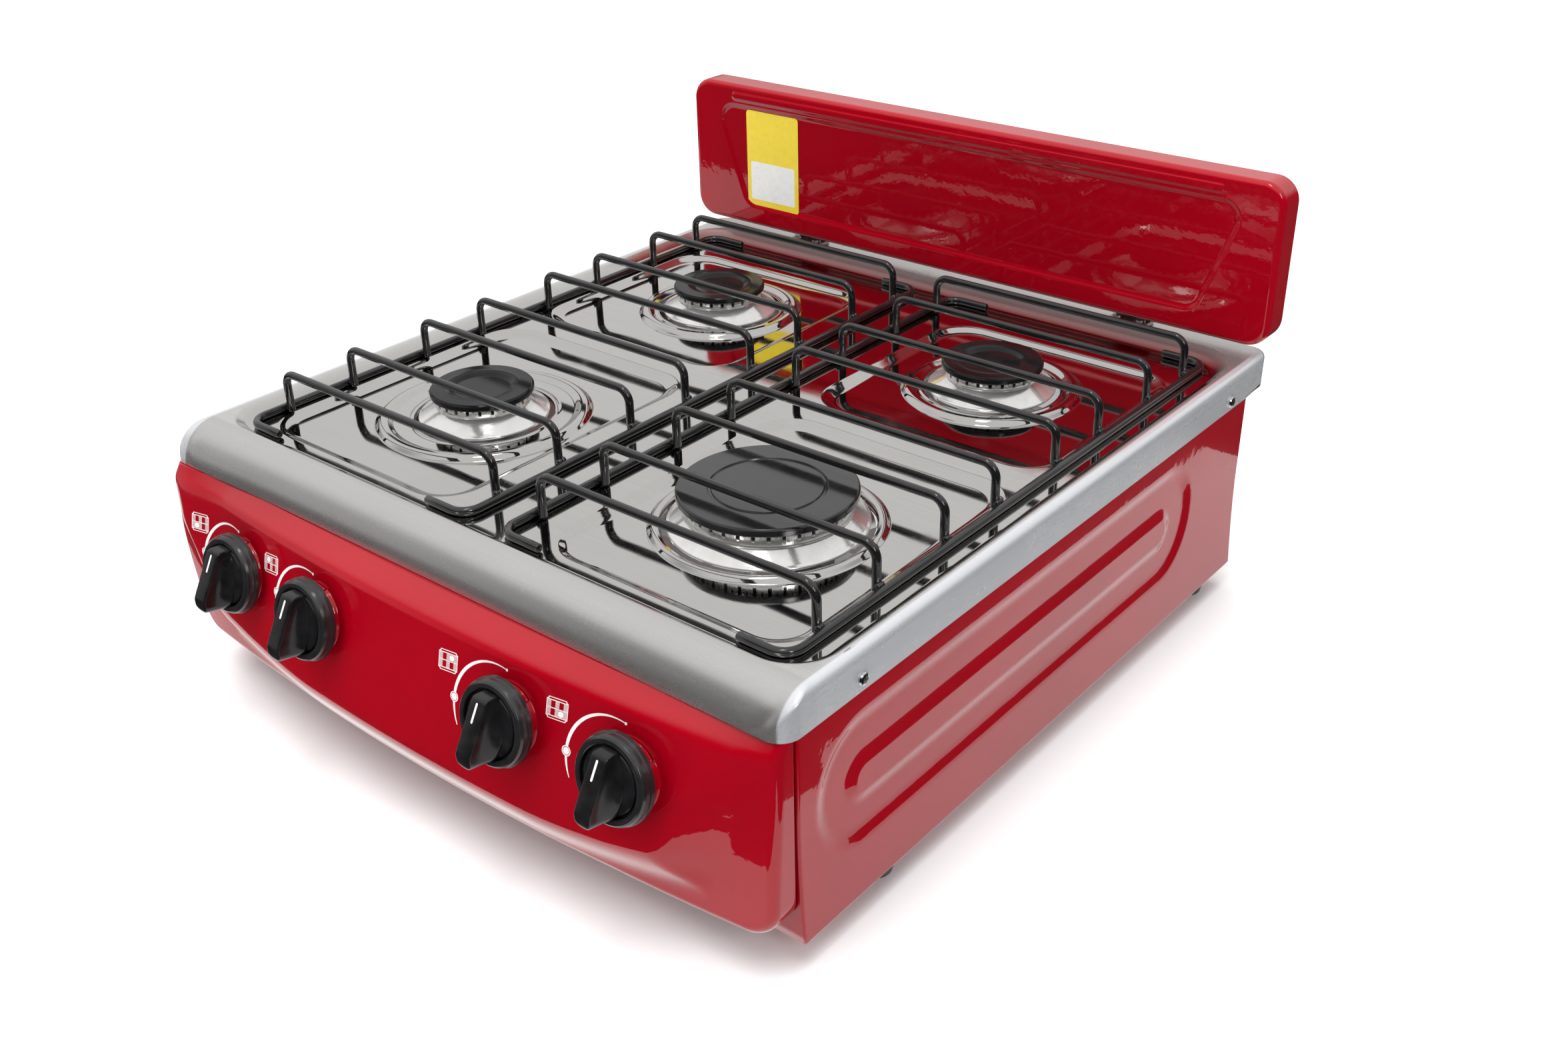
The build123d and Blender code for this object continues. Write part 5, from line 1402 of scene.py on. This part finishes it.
# ------------------------------------------------------------------ knobs
def make_knob(name):
    xk = KNOBS[name]
    rot, org = knob_space(xk)
    ringmat = make_ring_plastic("knob_ring_" + name, xk)
    # turned rim and disc, as seen from the front
    prof = [(8.0, 6.35), (25.0, 6.35), (25.6, 7.0), (25.6, 9.7), (24.95, 10.3), (24.85, 12.7), (24.1, 14.4), (22.9, 15.45), (20.6, 15.5), (20.0, 14.9), (19.95, 12.3), (18.45, 12.3), (18.4, 14.0), (17.6, 14.65), (0, 15.3),
            (0, 8.6), (8.0, 8.6)]
    rad = [0.3, 0.4, 0.4, 0.4, 0.25, 0.5, 1.2, 0.6, 0.4, 0.3, 0.3, 0.3, 0.4, 0.5, 0, 0, 0.3]
    co, faces, nl = lathe(prof, rad, (0, 0), 112, 4)
    r2 = np.hypot(co[:, 0], co[:, 1])
    idx = []
    for f in faces:
        c = co[list(f)]
        rr, zz = np.hypot(c[:, 0], c[:, 1]).mean(), c[:, 2].mean()
        idx.append(1 if rr > 20.2 and zz > 6.5 else 0)
    # grip bar: its front rises in a straight line towards the toe and levels off there
    def top_w(v):
        rise = 23.3 - 0.2968 * (np.asarray(v, float) - 18.0)
        level = (34.72 + 0.225 * np.asarray(v, float)) / 0.9744
        return -0.3 * np.logaddexp(-rise / 0.3, -level / 0.3)
    vs = np.concatenate([np.linspace(19.2, 17.2, 6), np.linspace(15.6, -16.6, 28), -16.6 - 5.3 * np.sin(np.radians([10, 20, 30, 40, 50, 60, 68, 75, 81, 86]))])
    rings = []
    for v in vs:
        wt, ht = top_w(v), 5.6
        hb = 5.9 + 6.3 * max(0.0, 1 - ((v + 2.0) / 18.6) ** 2) ** 0.85
        if v > 16.6:
            q = min(1.0, (v - 16.6) / 2.7)
            wt = wt - 8.4 * q ** 2.0
            ht = ht * (1 - 0.22 * q * q)
        if v < -16.6:
            k = math.sqrt(max(0.0, 1 - ((-16.6 - v) / 5.3) ** 2))
            ht, hb = ht * k, max(ht * k, hb * k)
            wt = wt - 2.6 * (1 - k)
        w0 = 13.6
        e = min(1.15, ht * 0.45)
        sec = []
        for s in np.linspace(0, 1, 9):          # side, concave
            w = w0 + (wt - e - w0) * s
            u = ht + (hb - ht) * (1 - s) ** 2.4
            sec.append((u, w))
        for a in np.radians([22.5, 45, 67.5, 90]):
            sec.append((ht - e * (1 - math.cos(a)), wt - e + e * math.sin(a)))
        crown = [(ht - e) * k for k in (0.66, 0.33)]
        for u in crown:
            sec.append((u, wt + 0.10 * (1 - (u / ht) ** 2)))
        sec.append((0.0, wt + 0.12))
        full = sec + [(-u, w) for u, w in sec[-2::-1]]
        rings.append([(u, v, w) for u, w in full])
    g = np.array(rings)
    kk, mm = g.shape[:2]
    bco = g.reshape(-1, 3)
    bf = []
    for i in range(kk - 1):
        for j in range(mm - 1):
            bf.append((i * mm + j, i * mm + j + 1, (i + 1) * mm + j + 1, (i + 1) * mm + j))
        bf.append((i * mm + mm - 1, i * mm, (i + 1) * mm, (i + 1) * mm + mm - 1))
    bf.append(tuple(range(mm))[::-1])
    bf.append(tuple((kk - 1) * mm + j for j in range(mm)))
    # winding
    f = bf[(kk // 2) * mm + mm // 2]
    gn = np.cross(bco[f[1]] - bco[f[0]], bco[f[2]] - bco[f[0]])
    if gn[2] < 0:
        bf = [q[::-1] for q in bf]
    bidx = [0] * len(bf)
    # normals of the bar from its own smooth mesh
    me = bpy.data.meshes.new("tmp")
    me.from_pydata(bco.tolist(), [], bf)
    vn = np.zeros((len(bco), 3))
    for f in bf[:-2]:
        c = bco[list(f)]
        gg = np.cross(c[2] - c[0], c[3] - c[1])
        for v in f:
            vn[v] += gg
    l = np.linalg.norm(vn, axis=1)
    vn[l < 1e-9] = [0, 0, 1]
    vn /= np.maximum(np.linalg.norm(vn, axis=1), 1e-9)[:, None]
    bnl = []
    for i, f in enumerate(bf):
        if i >= len(bf) - 2:
            c = bco[list(f)]
            gg = np.cross(c[len(f) // 3] - c[0], c[2 * len(f) // 3] - c[0])
            gg /= max(np.linalg.norm(gg), 1e-9)
            bnl.append(np.tile(gg, (len(f), 1)))
        else:
            bnl.append(vn[list(f)])
    bpy.data.meshes.remove(me)
    # white mark, inlaid in the bar's front
    a, b, hw = 15.6, 4.6, 0.7
    pts = []
    for t in np.linspace(0, math.pi, 9):
        pts.append((hw * math.cos(t), a - hw + hw * math.sin(t)))
    for t in np.linspace(math.pi, 2 * math.pi, 9):
        pts.append((hw * math.cos(t), b + hw + hw * math.sin(t)))
    pts = np.array(pts)
    lw = top_w(pts[:, 1]) + 0.18
    lco = np.concatenate([np.column_stack([pts, lw]), np.column_stack([pts, lw - 0.6])])
    q = len(pts)
    lf = [tuple(range(q)), tuple(range(2 * q - 1, q - 1, -1))] + [(i, i + q, (i + 1) % q + q, (i + 1) % q) for i in range(q)]
    gn = np.cross(lco[1] - lco[0], lco[2] - lco[0])
    if gn[2] < 0:
        lf = [f[::-1] for f in lf]
    lidx = [2] * len(lf)
    lnl = flat_normals(lco, lf)
    co, faces, nl = joined([(co, faces, nl), (bco, bf, np.concatenate(bnl)), (lco, lf, lnl)])
    idx = idx + bidx + lidx
    co = co @ rot.T + org
    nl = nl @ rot.T
    piece(f"knob_{name}_moulding", co, faces, nl, body="knob_" + name, nodes=["knob_" + name], mats=[PLASTIC, ringmat, PRINT], index=idx)


# ------------------------------------------------------------------ printed marks on the control panel
def flat_shape(loops, lift=0.06, thick_=0.05):
    """thin print from outlines given in x, z on the control panel's face: the first is outside, the rest are holes"""
    s = Skin()
    ids = []
    for lp in loops:
        c, m = on_field(np.asarray(lp, float))
        m = m / np.linalg.norm(m, axis=1)[:, None]
        ids.append(s.add(c + m * lift, m))

    def up(p):
        c, m = on_field(p)
        m = m / np.linalg.norm(m, axis=1)[:, None]
        return c + m * lift, m
    s.fill(ids[0], ids[1:], 3.0, up)
    co, no = s.arrays()
    co3 = np.stack([co[:, 0], -co[:, 2], co[:, 1]], 1)
    no3 = np.stack([no[:, 0], -no[:, 2], no[:, 1]], 1)
    co3, no3 = stretch(co3, no3)
    return thick(co3, no3, s.faces, thick_)


def on_panel(xk, u, v):
    """local u, v about a knob to x, z on the panel"""
    rot, org = knob_space(xk)
    x = xk + np.asarray(u, float)
    base = (org[1] + 266.7 + 0.2309 * (108.5 - org[2]) - 16.0 * (x / 250.0) ** 2) / 1.0263
    z = org[2] + math.cos(TILT) * np.asarray(v, float) + math.sin(TILT) * base
    return np.stack([x, z], 1)


# centre and radius of each arc about its knob, where its dot and its disc are, and the plan's centre
ARCS = {"front_left": ((-17.0, -5.3), 29.8, 73.8, 176.0, (-51.6, 15.6)), "rear_left": ((-14.8, -6.6), 31.6, 77.0, 170.0, (-52.8, 15.2)),
        "rear_right": ((-11.3, -5.0), 32.0, 78.0, 178.4, (-50.0, 15.0)), "front_right": ((-10.9, -3.4), 30.8, 78.0, 180.0, (-50.4, 17.5))}


def make_marks():
    parts = []
    for name, xk in KNOBS.items():
        def loop(pts):
            pts = np.asarray(pts, float)
            return on_panel(xk, pts[:, 0], pts[:, 1])
        # tapered arc from the small dot round to past the ring mark
        (cu, cv), R, a0, ad, (u0, v0) = ARCS[name]
        a1 = 208.0
        for b0, b1 in ((a0, ad - 5.2), (ad + 5.2, a1)):
            ang = np.linspace(b0, b1, int(8 + abs(b1 - b0) / 2))
            half = 0.22 + 0.83 * np.clip(np.sin(math.pi * ((ang - a0) / (a1 - a0)) ** 1.25), 0, 1) ** 0.9
            ang = np.radians(ang)
            outer = np.stack([cu + (R + half) * np.cos(ang), cv + (R + half) * np.sin(ang)], 1)
            inner = np.stack([cu + (R - half) * np.cos(ang), cv + (R - half) * np.sin(ang)], 1)
            parts.append(flat_shape([loop(np.concatenate([outer, inner[::-1]]))]))
        c = np.linspace(0, 2 * math.pi, 29)[:-1]
        d = np.radians(a0)
        parts.append(flat_shape([loop(np.stack([cu + R * math.cos(d) + 0.85 * np.cos(c), cv + R * math.sin(d) + 0.85 * np.sin(c)], 1))], lift=0.08))
        # disc with its own ring at nine o'clock
        d = np.radians(ad)
        du, dv = cu + R * math.cos(d), cv + R * math.sin(d)
        for r0, r1 in ((3.1, 2.55), (2.15, 0.0)):
            lp = [loop(np.stack([du + r0 * np.cos(c), dv + r0 * np.sin(c)], 1))]
            if r1:
                lp.append(loop(np.stack([du + r1 * np.cos(c), dv + r1 * np.sin(c)], 1)))
            parts.append(flat_shape(lp, lift=0.08))
        # plan of the hob: outline with notched corners, hatching, four burners left clear, the one worked by this knob filled in
        hw, hh = 7.6, 6.3

        def put(shape, lift=0.06):
            w = np.asarray(shape, float)
            parts.append(flat_shape([loop(np.stack([u0 + w[:, 0], v0 + w[:, 1] + 0.09 * w[:, 0]], 1))], lift=lift))

        def plate(k, n=1.35):
            w, h = hw - k, hh - k
            out = []
            for su, sv in ((1, -1), (1, 1), (-1, 1), (-1, -1)):
                q = [(su * (w - n), sv * h), (su * (w - n * 0.82), sv * (h - n * 0.5)), (su * (w - n * 0.5), sv * (h - n * 0.82)), (su * w, sv * (h - n))]
                out += q if su * sv < 0 else q[::-1]
            return np.array(out)
        o, i = [np.stack([u0 + w[:, 0], v0 + w[:, 1] + 0.09 * w[:, 0]], 1) for w in (plate(0.0), plate(0.42))]
        parts.append(flat_shape([loop(o), loop(i)]))
        side = {"front_left": (-1, -1), "rear_left": (-1, 1), "rear_right": (1, 1), "front_right": (1, -1)}
        for v1 in np.arange(-4.55, 4.56, 0.65):
            e = 0.24 if abs(abs(v1) - 4.55) < 0.01 or abs(v1) < 0.01 else 0.15
            cuts = [sp_ for sp_ in ((-4.45, -1.35), (1.35, 4.45))]
            if abs(abs(v1) - 2.3) > 1.75:
                cuts = []
            a_ = -(hw - 0.3)
            for c0, c1 in cuts + [(hw - 0.3, None)]:
                put([(a_, v1 - e), (c0, v1 - e), (c0, v1 + e), (a_, v1 + e)])
                a_ = c1
        su, sv = side[name]
        n8 = np.radians(np.arange(22.5, 360, 15.0))
        put(np.stack([su * 2.9 + 1.75 * np.sign(np.cos(n8)) * np.abs(np.cos(n8)) ** 0.7, sv * 2.3 + 1.75 * np.sign(np.sin(n8)) * np.abs(np.sin(n8)) ** 0.7], 1), lift=0.08)
    co, faces, nl = joined(parts)
    piece("panel_marks", co, faces, nl, mats=[PRINT])


def make_sticker():
    """blank paper label with round corners in the backsplash's recess"""

    def panel(x0, x1, z0, z1, r, h, t):
        k = Skin()
        lp = rect_loop(x0, x1, z0, z1, r, 6, (8, 12))
        ids = k.add(np.column_stack([lp, np.full(len(lp), h)]), (0, 0, 1.0))
        k.fill(ids, [], 9.0, lambda p: (np.column_stack([p, np.full(len(p), h)]), (0, 0, 1.0)))
        co, no = k.arrays()
        co3 = np.stack([co[:, 0], -co[:, 2], co[:, 1]], 1)
        no3 = np.stack([no[:, 0], -no[:, 2], no[:, 1]], 1)
        return thick(co3, no3, k.faces, t)
    deep = -278.6 - 1.5
    a = panel(-204, -150, 200.5, 280, 3.0, deep + 0.42, 0.3)
    b = panel(-200, -154, 206, 238, 1.5, deep + 0.47, 0.08)
    parts = [a, b]
    co, faces, nl = joined(parts)
    idx = [0] * len(a[1]) + [1] * len(b[1])
    piece("blank_label", co, faces, nl, mats=[YELLOW, WHITE], index=idx)


make_cooktop()
make_control_panel()
make_side(1, "side_panel_right")
make_side(-1, "side_panel_left")
make_backsplash()
make_grate(1, "grate_right", 3)
make_grate(-1, "grate_left", 8)
for b in BURNERS:
    make_burner(b)
for k in KNOBS:
    make_knob(k)
make_marks()
make_sticker()

# ------------------------------------------------------------------ camera
psi, th, rho = math.radians(39.625), math.radians(28.942), math.radians(-1.089)
r = Vector((math.cos(psi), math.sin(psi), 0))
fwd = Vector((-math.sin(psi) * math.cos(th), math.cos(psi) * math.cos(th), -math.sin(th)))
u = Vector((-math.sin(psi) * math.sin(th), math.cos(psi) * math.sin(th), math.cos(th)))
right = math.cos(rho) * r + math.sin(rho) * u
upv = -math.sin(rho) * r + math.cos(rho) * u
cam_data = bpy.data.cameras.new("camera")
cam_data.sensor_width = 36.0
cam_data.lens = 2379.86 * 36.0 / 2352.0
cam_data.clip_start, cam_data.clip_end = 0.05, 60.0
cam = bpy.data.objects.new("camera", cam_data)
SCENE.collection.objects.link(cam)
mat = Matrix((right, upv, -fwd)).transposed().to_4x4()
mat.translation = Vector((0.646137, -0.710425, 0.612645))
cam.matrix_world = mat
SCENE.camera = cam

# ------------------------------------------------------------------ floor and light
floor = bpy.data.meshes.new("floor")
floor.from_pydata([(-14, -14, 0), (14, -14, 0), (14, 14, 0), (-14, 14, 0)], [], [(0, 1, 2, 3)])
floor_ob = bpy.data.objects.new("floor", floor)
SCENE.collection.objects.link(floor_ob)
fm = Mat("floor_paper").set(Roughness=0.9)
nz = fm.noise(fm.mapped(scale=(3, 3, 3)), 1.0, 3.0, 0.5)
fm.link(fm.mix(nz, (0.86, 0.86, 0.865), (0.88, 0.88, 0.885)), "Base Color")
floor.materials.append(fm.m)


def softbox(name, loc, target, size, power, color=(1, 1, 1)):
    d = bpy.data.lights.new(name, "AREA")
    d.shape = "RECTANGLE"
    d.size, d.size_y = size
    d.energy = power
    d.color = color
    o = bpy.data.objects.new(name, d)
    SCENE.collection.objects.link(o)
    v = Vector(target) - Vector(loc)
    o.rotation_mode = "QUATERNION"
    o.rotation_quaternion = v.to_track_quat("-Z", "Y")
    o.location = loc
    return o


# the table top that the enamel and the steel mirror: it ends a hand's breadth from the stove
table = bpy.data.meshes.new("table")
TABLE = [(-1.1, -0.308), (0.12, -0.308), (0.15, -0.33), (0.172, -0.352), (0.381, -0.354), (0.381, -0.165), (0.346, -0.125), (0.342, -0.098), (0.364, -0.072), (0.366, 0.47), (-1.1, 0.47)]
table.from_pydata([(x, y, -0.0006) for x, y in TABLE], [], [tuple(range(len(TABLE)))])
table_ob = bpy.data.objects.new("table", table)
SCENE.collection.objects.link(table_ob)
tm = Mat("table_paper").set(Roughness=0.9, Emission_Color=(1.0, 0.98, 0.97), Emission_Strength=0.85)
nz = tm.noise(tm.mapped(scale=(3, 3, 3)), 1.0, 3.0, 0.5)
tm.link(tm.mix(nz, (0.86, 0.86, 0.865), (0.88, 0.88, 0.885)), "Base Color")
table.materials.append(tm.m)
table_ob.visible_camera = False
table_ob.visible_diffuse = False
table_ob.visible_shadow = False
table_ob.visible_transmission = False

for name, loc, target, size, power in (
        ("top", (-0.4, -0.2, 3.0), (0, 0, 0), (3.6, 3.6), 150),
        ("front", (-0.9, -3.0, 1.5), (0, 0, 0.1), (2.4, 1.6), 34),
        ("right", (3.2, 0.4, 1.6), (0, 0, 0.1), (2.0, 1.6), 16)):
    softbox(name, loc, target, size, power).visible_glossy = False
for name, loc, size, power in (("glint_right", (2.25, -1.05, 1.75), (0.45, 0.9), 9), ("glint_top", (0.2, -0.5, 2.8), (0.4, 1.1), 9)):
    softbox(name, loc, (0, 0, 0.1), size, power)
floor_ob.visible_glossy = False

world = bpy.data.worlds.new("studio")
SCENE.world = world
world.use_nodes = True
W = Mat.__new__(Mat)
W.t = world.node_tree
W.t.nodes.clear()
wo = W.t.nodes.new("ShaderNodeOutputWorld")
bg = W.t.nodes.new("ShaderNodeBackground")
W.t.links.new(bg.outputs[0], wo.inputs[0])
sky = W.t.nodes.new("ShaderNodeTexCoord")
dx, dy, dz = W.node("ShaderNodeSeparateXYZ", {0: sky.outputs["Generated"]}).outputs


def smooth(v, a, b, va=0.0, vb=1.0):
    n = W.node("ShaderNodeMapRange", {"Value": v, "From Min": a, "From Max": b, "To Min": va, "To Max": vb})
    n.interpolation_type = "SMOOTHSTEP"
    return n.outputs[0]


# soft white walls behind and to the left, a white ceiling, a dark room in front and below
q = W.math("ADD", W.math("MULTIPLY", dy, 0.77), W.math("MULTIPLY", dx, -0.64))
rear = smooth(q, -0.10, 0.40)
up_rear = smooth(dz, 0.06, 0.30, 0.04, 0.78)
up_front = smooth(dz, 0.34, 0.76, 0.012, 0.78)
lerp = lambda f, a, b: W.math("ADD", W.math("MULTIPLY", f, b), W.math("MULTIPLY", W.math("SUBTRACT", 1.0, f), a))
upper = lerp(rear, up_front, up_rear)
lower = smooth(W.math("MULTIPLY", dz, -1.0), 0.86, 0.98, 0.0, 0.5)
leftw = W.math("MULTIPLY", smooth(W.math("MULTIPLY", dx, -1.0), 0.54, 0.82), W.math("MULTIPLY", smooth(dz, -0.20, 0.04), 0.42))
lum = W.math("MAXIMUM", W.math("MAXIMUM", upper, lower), leftw)
col = W.node("ShaderNodeCombineColor", {0: W.math("MULTIPLY", lum, 1.0), 1: W.math("MULTIPLY", lum, 0.99), 2: W.math("MULTIPLY", lum, 0.98)}).outputs[0]
W.t.links.new(col, bg.inputs[0])
bg.inputs[1].default_value = 1.0

SCENE.view_settings.view_transform = "Standard"
SCENE.view_settings.look = "None"
SCENE.view_settings.exposure = 0.0
